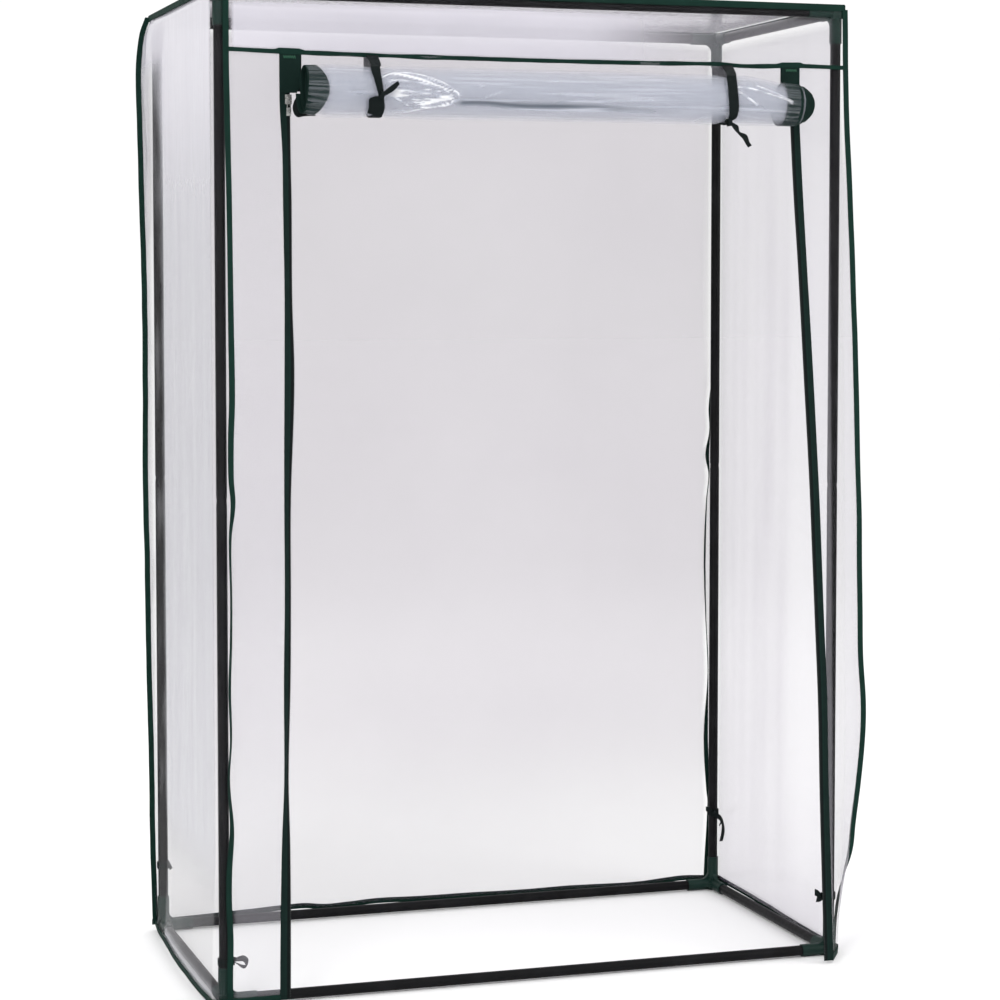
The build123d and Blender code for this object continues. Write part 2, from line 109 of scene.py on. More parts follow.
def addNode(tree, kind, settings=None, **sockets):
    node = tree.nodes.new(kind)
    for key, value in (settings or {}).items():
        setattr(node, key, value)
    for key, value in sockets.items():
        node.inputs[key].default_value = value
    return node


def coords(tree, output="Object", stretch=None):
    source = addNode(tree, "ShaderNodeTexCoord").outputs[output]
    if stretch is None:
        return source
    mapping = addNode(tree, "ShaderNodeMapping", Scale=stretch)
    tree.links.new(source, mapping.inputs["Vector"])
    return mapping.outputs["Vector"]


def grain(tree, source, scale, detail=3.0, rough=0.5):
    node = addNode(tree, "ShaderNodeTexNoise", Scale=scale, Detail=detail, Roughness=rough)
    tree.links.new(source, node.inputs["Vector"])
    return node.outputs["Fac"]


def spread(tree, source, low, high, start=0.3, stop=0.7):  # a texture's range turned into a socket's range
    node = addNode(tree, "ShaderNodeMapRange")
    for key, value in (("From Min", start), ("From Max", stop), ("To Min", low), ("To Max", high)):
        node.inputs[key].default_value = value
    tree.links.new(source, node.inputs["Value"])
    return node.outputs["Result"]


def blendColour(tree, factor, first, second):
    node = addNode(tree, "ShaderNodeMix", {"data_type": "RGBA"})
    tree.links.new(factor, node.inputs["Factor"])
    for socket, value in (("A", first), ("B", second)):
        target = [s for s in node.inputs if s.name == socket and s.type == "RGBA"][0]
        if isinstance(value, tuple):
            target.default_value = (*value, 1)
        else:
            tree.links.new(value, target)
    return [s for s in node.outputs if s.type == "RGBA"][0]


def gradient(tree, factor, stops):
    node = addNode(tree, "ShaderNodeValToRGB")
    ramp = node.color_ramp
    while len(ramp.elements) < len(stops):
        ramp.elements.new(0.5)
    for stop, (at, colour) in zip(ramp.elements, stops):
        stop.position = at
        stop.color = (*colour, 1) if isinstance(colour, tuple) else (colour, colour, colour, 1)
    tree.links.new(factor, node.inputs["Fac"])
    return node.outputs["Color"]


def marked(tree, name):
    return addNode(tree, "ShaderNodeAttribute", {"attribute_name": name}).outputs["Fac"]


def sums(tree, operation, first, second):
    node = addNode(tree, "ShaderNodeMath", {"operation": operation})
    for k, value in enumerate((first, second)):
        if isinstance(value, (int, float)):
            node.inputs[k].default_value = value
        else:
            tree.links.new(value, node.inputs[k])
    return node.outputs[0]


def addBump(tree, shader, height, strength, distance):
    node = addNode(tree, "ShaderNodeBump", Strength=strength, Distance=distance)
    tree.links.new(height, node.inputs["Height"])
    tree.links.new(node.outputs["Normal"], shader.inputs["Normal"])


def mottle(tree, shader, source, first, second, start=0.3, stop=0.7):  # two colours, mixed by a texture
    factor = spread(tree, source, 0, 1, start, stop)
    tree.links.new(blendColour(tree, factor, first, second), shader.inputs["Base Color"])


def roughen(tree, shader, source, low, high):
    tree.links.new(spread(tree, source, low, high), shader.inputs["Roughness"])


waveScale = 0.314  # a wave texture's scale for one rib a metre


def bands(tree, source, pitch, direction):  # ribs at a pitch in metres
    settings = {"wave_type": "BANDS", "bands_direction": direction}
    node = addNode(tree, "ShaderNodeTexWave", settings, Scale=waveScale / pitch)
    tree.links.new(source, node.inputs["Vector"])
    return node.outputs["Fac"]


def tubePaint():
    look = {"black": (0.003, 0.003, 0.0036), "dust": (0.0085, 0.0085, 0.0098)}
    material, tree, shader = startMaterial("tube paint", look["black"], Specular_IOR_Level=0.11)
    place = coords(tree)
    mottle(tree, shader, grain(tree, place, 22, 4), look["black"], look["dust"], 0.45, 0.75)
    roughen(tree, shader, grain(tree, place, 160, 3), 0.36, 0.5)
    addBump(tree, shader, grain(tree, place, 850, 2), 0.12, 0.0004)  # orange peel of a powder coat
    return material


def cornerPlastic():
    look = {"green": (0.003, 0.0165, 0.0125), "flow": (0.0044, 0.022, 0.0168)}
    material, tree, shader = startMaterial("corner plastic", look["green"], Specular_IOR_Level=0.2)
    place = coords(tree)
    mottle(tree, shader, grain(tree, place, 45, 4), look["green"], look["flow"])
    roughen(tree, shader, grain(tree, place, 90, 3), 0.4, 0.56)
    addBump(tree, shader, grain(tree, place, 1400, 2), 0.18, 0.0003)  # moulded grain
    return material


def clearFilm(name, tints, veils):  # for film on a tube, hanging free, and dulled; the dulled stage is also the painted glare on the valance
    material, tree, shader = startMaterial(name, tints[1], IOR=1.45)
    hung = coords(tree, "Object", (1.0, 1.0, 0.22))
    loose = marked(tree, "loose")
    tree.links.new(gradient(tree, loose, list(zip((0, 0.5, 1), tints))), shader.inputs["Base Color"])
    haze = spread(tree, grain(tree, coords(tree), 2.5, 3, 0.5), 0.95, 1.06)
    veil = sums(tree, "MULTIPLY", gradient(tree, loose, list(zip((0, 0.5, 1), veils))), haze)
    facing = addNode(tree, "ShaderNodeLayerWeight", Blend=0.5).outputs["Facing"]
    glance = sums(tree, "MULTIPLY", sums(tree, "POWER", facing, 5), spread(tree, loose, 0.06, 1.1, 0, 0.5))
    tree.links.new(sums(tree, "ADD", veil, glance), shader.inputs["Alpha"])  # a sheet mirrors more when seen edge on
    roughen(tree, shader, grain(tree, hung, 60, 2), 0.08, 0.2)
    addBump(tree, shader, grain(tree, hung, 26, 3, 0.55), 0.16, 0.003)
    return material


def rollFilm():
    # painted shade darkens the folds and a painted highlight whitens the creases, on the film's own tint
    look = {"paintedFoldShade": (0.065, 0.08, 0.108), "tint": (0.535, 0.555, 0.63), "glint": (0.95, 0.95, 0.95)}
    material, tree, shader = startMaterial("rolled film", look["tint"], IOR=1.45, Specular_IOR_Level=0.8)
    lengthwise = coords(tree, "UV", (0.3, 1.0, 1.0))
    colour = gradient(tree, marked(tree, "shade"), [(0, look["paintedFoldShade"]), (0.5, look["tint"]), (1, look["glint"])])
    tree.links.new(colour, shader.inputs["Base Color"])
    cloudy = spread(tree, grain(tree, lengthwise, 30, 3), 0.85, 1.2)
    tree.links.new(sums(tree, "MULTIPLY", marked(tree, "veil"), cloudy), shader.inputs["Alpha"])
    roughen(tree, shader, grain(tree, lengthwise, 70, 3), 0.06, 0.16)
    addBump(tree, shader, grain(tree, lengthwise, 60, 3, 0.55), 0.2, 0.0016)
    return material


def wovenCloth(name, cloth, worn, stitchAt=None, thread=None, inner=None, innerFrom=None):
    material, tree, shader = startMaterial(name, cloth, Specular_IOR_Level=0.03)
    flat = coords(tree, "UV")
    across = addNode(tree, "ShaderNodeSeparateXYZ")
    tree.links.new(flat, across.inputs[0])
    colour = blendColour(tree, spread(tree, grain(tree, coords(tree), 55, 4), 0, 1), cloth, worn)
    weave = sums(tree, "MULTIPLY", bands(tree, flat, 0.0011, "X"), bands(tree, flat, 0.0013, "Y"))
    height = weave
    blur = 0.0003
    if inner:  # the side next to the door is another tape
        side = spread(tree, across.outputs["X"], 0, 1, innerFrom - blur, innerFrom + blur)
        colour = blendColour(tree, side, colour, inner)
    if stitchAt:
        near = sums(tree, "COMPARE", across.outputs["X"], stitchAt)
        near.node.inputs[2].default_value = 0.00045
        dash = sums(tree, "GREATER_THAN", bands(tree, flat, 0.0045, "Y"), 0.35)
        sewn = sums(tree, "MULTIPLY", near, dash)
        colour = blendColour(tree, sewn, colour, thread)
        height = sums(tree, "ADD", weave, sums(tree, "MULTIPLY", sewn, 1.5))
    tree.links.new(colour, shader.inputs["Base Color"])
    roughen(tree, shader, grain(tree, coords(tree), 140, 3), 0.52, 0.72)
    addBump(tree, shader, height, 0.35, 0.0004)
    return material


def zipMetal():
    look = {"nickel": (0.72, 0.72, 0.7), "dull": (0.5, 0.5, 0.49)}
    material, tree, shader = startMaterial("zip metal", look["nickel"], Metallic=1.0)
    place = coords(tree)
    mottle(tree, shader, grain(tree, place, 260, 3), look["dull"], look["nickel"])
    brushed = coords(tree, "Object", (1, 1, 9))
    roughen(tree, shader, grain(tree, brushed, 420, 2), 0.16, 0.34)
    addBump(tree, shader, grain(tree, brushed, 900, 2), 0.1, 0.0002)
    return material


def coilNylon():
    look = {"black": (0.006, 0.008, 0.0078), "shine": (0.011, 0.016, 0.015)}
    material, tree, shader = startMaterial("zip coil", look["black"], Specular_IOR_Level=0.45)
    place = coords(tree)
    mottle(tree, shader, grain(tree, place, 300, 2), look["black"], look["shine"])
    roughen(tree, shader, grain(tree, place, 500, 2), 0.3, 0.45)
    return material


def tackThread():
    look = {"green": (0.008, 0.088, 0.044), "dark": (0.005, 0.05, 0.026)}
    material, tree, shader = startMaterial("tack thread", look["green"], Specular_IOR_Level=0.4)
    place = coords(tree)
    mottle(tree, shader, grain(tree, place, 900, 2), look["dark"], look["green"])
    roughen(tree, shader, grain(tree, place, 1200, 2), 0.4, 0.6)
    return material


greenCloth = (0.0065, 0.021, 0.0162)
greenWorn = (0.0082, 0.0265, 0.0202)
zipCloth = (0.0062, 0.0142, 0.0124)
zipWorn = (0.0078, 0.018, 0.0154)
blackCloth = (0.0062, 0.0088, 0.0088)
onTube = (0.06, 0.056, 0.064)
finish = {
    "tube": tubePaint(),
    "corner": cornerPlastic(),
    # the clear film comes in lit and shaded copies: the left, right and rear tints are painted shade, darker than the
    # film on the front and roof
    "film": clearFilm("clear film", [onTube, (0.5, 0.485, 0.53), (0.64, 0.62, 0.68)], [0.035, 0.115, 0.6]),
    "left film": clearFilm("left film", [onTube, (0.4, 0.4, 0.44), (0.62, 0.6, 0.66)], [0.035, 0.115, 0.5]),
    "right film": clearFilm("right film", [onTube, (0.25, 0.2, 0.3), (0.5, 0.48, 0.54)], [0.035, 0.115, 0.4]),
    "rear film": clearFilm("rear film", [(0.12, 0.11, 0.125), (0.225, 0.17, 0.24), (0.5, 0.45, 0.52)],
                           [0.04, 0.235, 0.3]),
    "roll": rollFilm(),
    "binding": wovenCloth("binding cloth", greenCloth, greenWorn, 0.0068, (0.0075, 0.031, 0.0235)),
    "zip": wovenCloth("zip cloth", zipCloth, zipWorn, 0.0085, (0.0085, 0.027, 0.022), blackCloth, 0.0102),
    "patch": wovenCloth("patch cloth", (0.0062, 0.0152, 0.0128), (0.0078, 0.019, 0.016)),
    "strap": wovenCloth("strap cloth", blackCloth, (0.0085, 0.0118, 0.0118)),
    "metal": zipMetal(),
    "coil": coilNylon(),
    "thread": tackThread(),
}
cadFinish = {"black_tube": "tube", "green_corner": "corner", "zip_metal": "metal"}
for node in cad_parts.values():
    kind = node.data.materials[0].name.split(".")[0]
    if kind in cadFinish:
        node.data.materials[0] = finish[cadFinish[kind]]
print("materials ready", len(finish))


# making pieces

def gridShape(cells, size, place):  # a flat grid laid out by place(u, v), with its UV in metres
    bm = bmesh.new()
    flat = bm.loops.layers.uv.new("UVMap")
    bmesh.ops.create_grid(bm, x_segments=cells[0], y_segments=cells[1], size=0.5)
    for face in bm.faces:
        for loop in face.loops:
            at = loop.vert.co
            loop[flat].uv = ((at.x + 0.5) * size[0] * mm, (at.y + 0.5) * size[1] * mm)
    for vert in bm.verts:
        vert.co = Vector(place(vert.co.x + 0.5, vert.co.y + 0.5)) * mm
    return bm


def addPiece(name, bm, look, body=root, nodes=(), wall=0.0, rounded=0.0):
    mesh = bpy.data.meshes.new(name)
    bm.to_mesh(mesh)
    bm.free()
    mesh.shade_smooth()
    piece = bpy.data.objects.new(name, mesh)
    scene.collection.objects.link(piece)
    mesh.materials.append(finish[look])
    if wall:
        thick = piece.modifiers.new("wall", "SOLIDIFY")
        thick.thickness = wall * mm
        thick.offset = 0
    if rounded:
        soft = piece.modifiers.new("edge", "BEVEL")
        soft.width = rounded * mm
        soft.segments = 2
        soft.profile = 0.5
        soft.limit_method = "ANGLE"
        soft.angle_limit = math.radians(50)
        soft.harden_normals = True
    if nodes:
        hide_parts(*nodes)
    if body:
        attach(piece, body)
    return piece


def tape(name, length, width, cells, middle, across, look, nodes, wall):
    def place(u, v):
        return Vector(middle(v)) + Vector(across(v)) * ((u - 0.5) * width)
    bm = gridShape(cells, (width, length), place)
    return addPiece(name, bm, look, root, nodes, wall, wall * 0.3)


posts = {"front_left": (-490, -195.16), "front_right": (490, -195.16), "rear_left": (-490, 284.84),
         "rear_right": (490, 284.84)}
topRails = {"front_top": ("front_left", "front_right"), "rear_top": ("rear_left", "rear_right"),
            "left_top": ("front_left", "rear_left"), "right_top": ("front_right", "rear_right")}
tubeSize = {"foot": 10, "top": 1490, "radius": 8}
# the middle lines of the tubes that film lies on
tubes = {name: [(*at, tubeSize["foot"]), (*at, tubeSize["top"])] for name, at in posts.items()}
for rail, ends in topRails.items():
    tubes[rail] = [(*posts[end], tubeSize["top"]) for end in ends]
# how far from the middle of a tube each film starts to hang free
clings = {"film": 14, "left film": 14, "right film": 14, "rear film": 12}


def markPoints(piece, name, value):
    mark = piece.data.attributes.new(name, "FLOAT", "POINT")
    for vert in piece.data.vertices:
        mark.data[vert.index].value = value(vert.co / mm)


def looseness(touches, dull, cling):  # 0 where film lies on a tube, 0.5 where it hangs free, 1 where it is dulled or painted with glare
    def value(at):
        away = 1000.0
        for name in touches:
            near = intersect_point_line(at, *tubes[name])[0]
            away = min(away, (near - at).length)
        return 0.5 * ease((away - cling) / (cling - tubeSize["radius"])) * max(1 + dull(at), 0)
    return value


def filmPiece(name, cells, size, place, nodes, touches, dull=lambda at: 0.0, look="film"):
    piece = addPiece(name, gridShape(cells, size, place), look, root, nodes, house["film"])
    markPoints(piece, "loose", looseness(touches, dull, clings[look]))
    return piece


# camera, floor and light

view = {"place": (-1.294, -3.982, 1.067), "yaw": 18.03, "pitch": -3.38, "focal": 2.638, "shift": -0.06,
        "sensor": 36}
lamps = {
    "key": {"place": (-2.4, -3.2, 3.4), "aim": (0, 0, 0.9), "size": 1.1, "power": 60},
    "fill": {"place": (3.0, -2.6, 2.2), "aim": (0, 0, 0.8), "size": 1.6, "power": 32},
    "back": {"place": (0.8, 3.2, 3.4), "aim": (0, 0, 0.7), "size": 2.4, "power": 14},
}


def aimed(name, data, place, aim):
    thing = bpy.data.objects.new(name, data)
    scene.collection.objects.link(thing)
    thing.location = place
    thing.rotation_euler = (Vector(aim) - Vector(place)).to_track_quat("-Z", "Y").to_euler()
    return thing


def dressStudio():
    lens = bpy.data.cameras.new("camera")
    lens.sensor_width = view["sensor"]
    lens.lens = view["focal"] * view["sensor"]
    lens.shift_y = view["shift"]
    camera = bpy.data.objects.new("camera", lens)
    scene.collection.objects.link(camera)
    camera.location = view["place"]
    camera.rotation_euler = (math.radians(90 + view["pitch"]), 0, -math.radians(view["yaw"]))
    scene.camera = camera
    for name, lamp in lamps.items():
        light = bpy.data.lights.new(name, "AREA")
        light.size = lamp["size"]
        light.energy = lamp["power"]
        aimed(name, light, lamp["place"], lamp["aim"])
    sky = bpy.data.lights.new("ceiling", "SUN")
    sky.energy = 0.3
    sky.angle = math.radians(120)
    aimed("ceiling", sky, (-1, -1, 5), (0, 0, 0))
    world = bpy.data.worlds.new("studio")
    world.use_nodes = True
    air = world.node_tree.nodes["Background"].inputs
    air["Color"].default_value = (1.0, 1.0, 1.0, 1)
    air["Strength"].default_value = 1.03
    scene.world = world
    scene.view_settings.view_transform = "Standard"
    scene.cycles.transparent_max_bounces = 48  # sight through every turn of the rolled film
    material, tree, shader = startMaterial("floor paint", (0.92, 0.92, 0.92), Roughness=0.9)
    tree.links.new(blendColour(tree, grain(tree, coords(tree), 0.8, 2), (0.91, 0.91, 0.912), (0.935, 0.935, 0.935)),
                   shader.inputs["Base Color"])
    bm = bmesh.new()
    bmesh.ops.create_grid(bm, x_segments=2, y_segments=2, size=45)
    mesh = bpy.data.meshes.new("floor")
    bm.to_mesh(mesh)
    bm.free()
    mesh.materials.append(material)
    floor = bpy.data.objects.new("floor", mesh)
    scene.collection.objects.link(floor)
    floor.location = (0, 0, -0.0002)


dressStudio()
print("camera, floor and lights ready")


# lines of the cover's seams, as (height, millimetres) or (millimetres across, height) keys

lines = {
    "frontRightBow": [(10, 0), (60, 2), (121, 9), (168, 17), (216, 21), (280, 28), (344, 33), (408, 34), (488, 29.5),
                      (568, 28), (695, 26), (837, 22), (979, 18), (1120, 12.6), (1276, 6), (1354, 2.5), (1490, 0)],
    "rearLeftBow": [(10, 1), (83, 3), (184, 5), (284, 5.5), (384, 7.5), (483, 9), (615, 10), (747, 12), (894, 11),
                    (1041, 11), (1204, 14.5), (1333, 17), (1414, 18), (1470, 12), (1499, 2)],
    "frontLeft": [(5, -484), (42, -484), (102, -483), (161, -485), (206, -484), (265, -480), (337, -484),
                  (399, -480.5), (473, -482), (546, -479.6), (605, -479), (694, -480), (745, -475.4), (782, -478),
                  (840, -478), (898, -476), (1000, -476.8), (1189, -478.5), (1247, -479.6), (1333, -481),
                  (1391, -482), (1494, -482)],
    "frontLeftTurn": [(5, 0), (200, 12), (330, 62), (480, 58), (620, 64), (700, 55), (745, 30), (800, 15), (900, 0),
                      (1100, 20), (1300, 10), (1494, 0)],
    "rearRight": [(12, 482), (49, 483), (156, 487), (174, 485), (255, 481), (290, 481), (388, 484), (477, 480),
                  (583, 477), (689, 480), (733, 484.5), (768, 481), (812, 485.5), (850, 485.5), (905, 489),
                  (1300, 489), (1494, 487)],
    "rearRightTurn": [(12, 0), (150, 40), (255, 10), (388, 68), (600, 52), (733, 64), (768, 25), (812, 64), (850, 40),
                      (905, 60), (1200, 60), (1494, 60)],
    "leftTape": [(4, -400.5), (65, -400), (230, -398.5), (334, -397.5), (483, -395.5), (602, -394), (750, -393.7),
                 (926, -390), (1044, -391), (1190, -392), (1262, -393), (1330, -395), (1400, -395)],
    "leftTapeTurn": [(4, 0), (65, 0), (230, 28), (334, 56), (483, 42), (602, 45), (750, 42), (926, 14), (1044, 35),
                     (1190, 28), (1262, 30), (1330, 8), (1400, 0)],
    "rightTape": [(4, 465), (171, 461), (286, 458.5), (413, 457), (550, 452), (635, 449), (745, 445), (917, 436.5),
                  (1104, 426.5), (1197, 421), (1305, 416), (1400, 413)],
    "valance": [(-484, 1407), (-402, 1405), (-297, 1403.6), (-143, 1402.6), (14, 1402.2), (175, 1403), (290, 1404.5),
                (330, 1402.4), (424, 1405), (500, 1404)],
    "rearHem": [(-510, 13), (-400, 16), (-273, 21), (-247, 21.5), (-212, 17), (-169, 18.6), (-116, 20.7), (-45, 19),
                (44, 18.5), (134, 17), (226, 17.6), (357, 15.6), (432, 20.5), (480, 18)],
    "rightHem": [(-206, 13), (-121, 12), (-82, 12.5), (-2, 14), (80, 16.5), (165, 18), (245, 18.5), (300, 19)],
    "leftHem": [(-206, 9), (-102, 7.5), (13, 8.5), (100, 7.8), (159, 9), (255, 9), (296, 13)],
    "leftHemBow": [(-206, 9), (-150, 11), (-90, 12), (20, 12), (140, 8), (250, 3), (296, 0)],
}
seamWidth = 9.0
seamReach = 3.6
tapeWidth = 16.0
tapeLean = {"top": 1400.5, "foot": 4.0, "forward": 43.0}


def lineAt(name, at):
    return along(lines[name], at)


def rightLean(z):
    return tapeLean["forward"] * (tapeLean["top"] - z) / (tapeLean["top"] - tapeLean["foot"])


def slack(a, b, seed, amount):  # how far a panel stands off its plane, nothing at its edges
    hold = (max(math.sin(math.pi * a), 0) * max(math.sin(math.pi * b), 0)) ** 0.6
    pulls = 0.45 * ripple(a * 13 + seed, b * 1.6, seed)
    return amount * hold * (ripple(a * 2.6 + seed, b * 3.2, seed * 1.7) + 0.5 * ripple(a * 6, b * 8, seed + 9) + pulls)


wrap = {"radius": 7.0, "proud": 0.25}  # how the side films turn round a post
wrapRun = house["rear"] - house["front"] + wrap["proud"] - wrap["radius"] + wrap["radius"] * math.pi / 2
hemRun = wrapRun + 14
filmFoot = {"left": 8, "strip": 8, "rear": 18, "right": 18}  # before each film takes the line of its hem
stripTop = 1404


def leftWrap(s):  # round the left wall from its rear edge to the return on the front, which starts at wrapRun
    radius = wrap["radius"]
    x, y = radius - house["side"], house["front"] - wrap["proud"] + radius
    run = house["rear"] - y
    bend = radius * math.pi / 2
    if s < run:
        return Vector((-house["side"], house["rear"] - s, 0)), Vector((-1, 0, 0))
    if s < run + bend:
        a = (s - run) / radius
        out = Vector((-math.cos(a), -math.sin(a), 0))
        return Vector((x, y, 0)) + out * radius, out
    return Vector((x + s - run - bend, y - radius, 0)), Vector((0, -1, 0))


def halfTurned(v):  # left to right and front to rear, about the middle of the frame
    return Vector((-v.x, house["front"] + house["rear"] - v.y, v.z))


def seamEdge(corner, z):  # how far a turned corner binding carries the films' edges across and out
    turn = math.radians(lineAt(corner + "Turn", z))
    return seamReach * math.cos(turn), seamReach * math.sin(turn)


def leftPanel(u, v):
    z = filmFoot["left"] + (house["wallTop"] - filmFoot["left"]) * v
    across, out = seamEdge("frontLeft", z)
    start = wrapRun + 1
    end = wrapRun + lineAt("frontLeft", z) - across + house["side"] - wrap["radius"]
    s = u * end
    at, away = leftWrap(s)
    z += fade(v * 12) * (lineAt("leftHem", at.y) - filmFoot["left"])
    flare = fade(s / 150)
    at.x -= max(lineAt("rearLeftBow", z) - 4, 0) * flare
    at.x -= lineAt("leftHemBow", at.y) * fade((z - 15) / 200) * fade((s - wrapRun + 4) / 14)
    at.y += 1.2 * flare - ease((s - start) / (end - start)) * (out + 0.6)
    gathers = 1.9 * ripple(s * 0.09, z * 0.016, 4) + 1.3 * ripple(s * 0.2, z * 0.045 + s * 0.08, 8)
    crease = bell(s - 14, 26) * gathers
    at += away * (slack(min(s / 500, 1), v, 1.0, 2.6) + crease * ease(s / 4))
    return at.x, at.y, z


def rightPanel(u, v):
    z = filmFoot["right"] + (house["wallTop"] - filmFoot["right"]) * v
    across, out = seamEdge("rearRight", z)
    start = wrapRun + 1
    end = wrapRun - lineAt("rearRight", z) - across + house["side"] - wrap["radius"]
    s = u * end
    at, away = leftWrap(s)
    at, away = halfTurned(at), -away
    z += fade(v * 12) * (lineAt("rightHem", at.y) - filmFoot["right"])
    bow = lineAt("frontRightBow", z)
    flare = fade(s / 230)
    at.x += bow * flare
    at.y += ease((s - start) / (end - start)) * (out + 0.8) - 0.4 * bow * flare
    at += away * slack(min(s / 500, 1), v, 2.3, 2.6)
    return at.x, at.y, z


def rearPanel(u, v):
    z = filmFoot["rear"] + (house["wallTop"] - filmFoot["rear"]) * v
    across, out = seamEdge("rearRight", z)
    left = -house["side"] - max(lineAt("rearLeftBow", z) - 4, 0)
    right = lineAt("rearRight", z) - across
    x = left + (right - left) * u
    z += fade(v * 12) * (lineAt("rearHem", x) - filmFoot["rear"])
    return x, house["rear"] + 0.3 + slack(u, v, 3.1, 3.2) - ease((u - 0.96) / 0.04) * (out - 0.8), z


def roofPanel(u, v):
    x = -house["side"] + 2 * house["side"] * u
    y = house["front"] + (house["rear"] - house["front"]) * v
    return x, y, house["roof"] + slack(u, v, 4.7, 1.6) - 1.2 * math.sin(math.pi * u) * math.sin(math.pi * v)


def valance(u, v):
    left = lineAt("frontLeft", 1450) + 3.5
    x = left + (house["side"] - left) * u
    low = lineAt("valance", x)
    z = low + (house["wallTop"] - low) * v
    pull = 0.8 * bell(v, 0.5) * ripple(x * 0.02, v * 2, 5)
    return x, house["front"] - 0.3 - 0.6 * (1 - v) + slack(u, v, 5.2, 1.5) + pull, z


def leftStrip(u, v):
    z = filmFoot["strip"] + (stripTop - filmFoot["strip"]) * v
    across, out = seamEdge("frontLeft", z)
    left = lineAt("frontLeft", z) + across
    turn = math.radians(lineAt("leftTapeTurn", z))
    right = lineAt("leftTape", z) - tapeWidth / 2 * math.cos(turn) + 1
    back = -math.sin(turn) * (tapeWidth / 2 - 1)
    x = left + (right - left) * u
    return x, house["front"] - 0.6 + back * ease(u) + out * fade(u / 0.4) + slack(u, v, 6.4, 2.2), z


def rightStrip(u, v):
    z = filmFoot["strip"] + (stripTop - filmFoot["strip"]) * v
    bow = lineAt("frontRightBow", z)
    edge = lineAt("rightTape", z) + tapeWidth / 2 - 1
    inner = Vector((edge, house["front"] - 0.9 - rightLean(z), z))
    outer = Vector((house["side"] + bow, house["front"] - 0.3 - 0.4 * bow, z))
    at = inner.lerp(outer, u)
    at.y -= 4.5 * math.sin(math.pi * u) * math.sin(math.pi * min(v * 1.1, 1)) * (0.5 + rightLean(z) / 60)
    at.y += slack(u, v, 7.7, 1.6)
    return at


def leftDull(at):  # lighter and denser towards the top, clear over the rear rail and along the rear post
    rear = ease((at.y - 172) / 36) * (1.05 + 0.5 * ripple(at.y * 0.02, at.z * 0.012, 4))
    rear *= fade((at.z - 1390) / 50)
    foot = 0.75 * fade((at.z - 130) / 110) * ease((at.z - 24) / 14)
    return 0.9 * ease((at.z - 950) / 480) ** 2 - foot - rear


def rearDull(at):  # clearer towards its foot
    return -0.62 * fade((at.z - 20) / 360)


# painted glare: the valance is lighter and denser from its left to past its middle, fading out towards its right
def paintedValanceGlare(at):
    return fade((at.x - 40) / 260)


def rightStripDull(at):  # clear where it lies over the post
    return -fade((abs(at.x - 486) - 9) / 5)


walls = {"left": (70, 110), "right": (70, 110), "rear": (100, 120), "roof": (70, 36), "valance": (110, 14),
         "strip": (26, 130)}
panels = [
    filmPiece("roof_film", walls["roof"], (1000, 500), roofPanel, ["roof_panel"],
              ["front_top", "rear_top", "left_top", "right_top"]),
    filmPiece("rear_film", walls["rear"], (975, 1480), rearPanel, ["rear_panel"],
              ["rear_left", "rear_right", "rear_top"], rearDull, "rear film"),
    filmPiece("left_film", walls["left"], (515, 1486), leftPanel, ["left_panel"],
              ["front_left", "rear_left"], leftDull, "left film"),
    filmPiece("right_film", walls["right"], (515, 1478), rightPanel, ["right_panel"],
              ["front_right", "right_top"], look="right film"),
    filmPiece("valance_film", walls["valance"], (975, 92), valance, ["front_valance"],
              ["front_left", "front_right", "front_top"], paintedValanceGlare),
    filmPiece("left_strip_film", walls["strip"], (75, 1396), leftStrip, ["left_front_strip"],
              ["front_left"]),
    filmPiece("right_strip_film", walls["strip"], (80, 1396), rightStrip, ["right_front_strip"],
              ["front_right"], rightStripDull),
]
rightFilm = next(panel for panel in panels if panel.name == "right_film").data
rightFilm.materials.append(finish["rear film"])
for face in rightFilm.polygons:  # the stretch that returns on the rear, painted with the rear film's darker shade
    face.material_index = 1 if face.center.y > (house["rear"] - 1.5) * mm else 0
print("film panels", len(panels))


# binding on the edges, hems and seam

bindingWall = 1.3


def upright(low, high):
    return lambda v: low + (high - low) * v


def edgeBinding(corner, low, high, point, turn):
    rise = upright(low, high)

    def across(v):
        a = math.radians(turn(rise(v)))
        return math.cos(a), math.sin(a), 0
    return tape(f"{corner}_edge_tape", high - low, seamWidth, (4, 190), lambda v: point(rise(v)), across,
                "binding", [f"{corner}_edge_binding"], bindingWall)


def frontLeftPoint(z):
    return lineAt("frontLeft", z), house["front"] - 1.2 - 0.8 * abs(ripple(z * 0.02, 3)), z


def frontRightPoint(z):
    bow = lineAt("frontRightBow", z)
    tuck = 14 * fade((z - 70) / 120)  # the foot of the edge is drawn back round the post
    return 500.6 + bow + 0.6 * ripple(z * 0.012, 7), house["front"] - 1.4 - 0.42 * bow + tuck, z


def frontRightTurn(z):
    return 12 * ripple(z * 0.006, 5) + 84 * fade((z - 80) / 110)


def rearLeftPoint(z):
    bow = lineAt("rearLeftBow", z)
    return -house["side"] - bow + 0.5 * ripple(z * 0.02, 2), house["rear"] + 1.6, z


def rearRightPoint(z):
    return lineAt("rearRight", z), house["rear"] + 1.4 + 1.0 * abs(ripple(z * 0.02, 9)), z


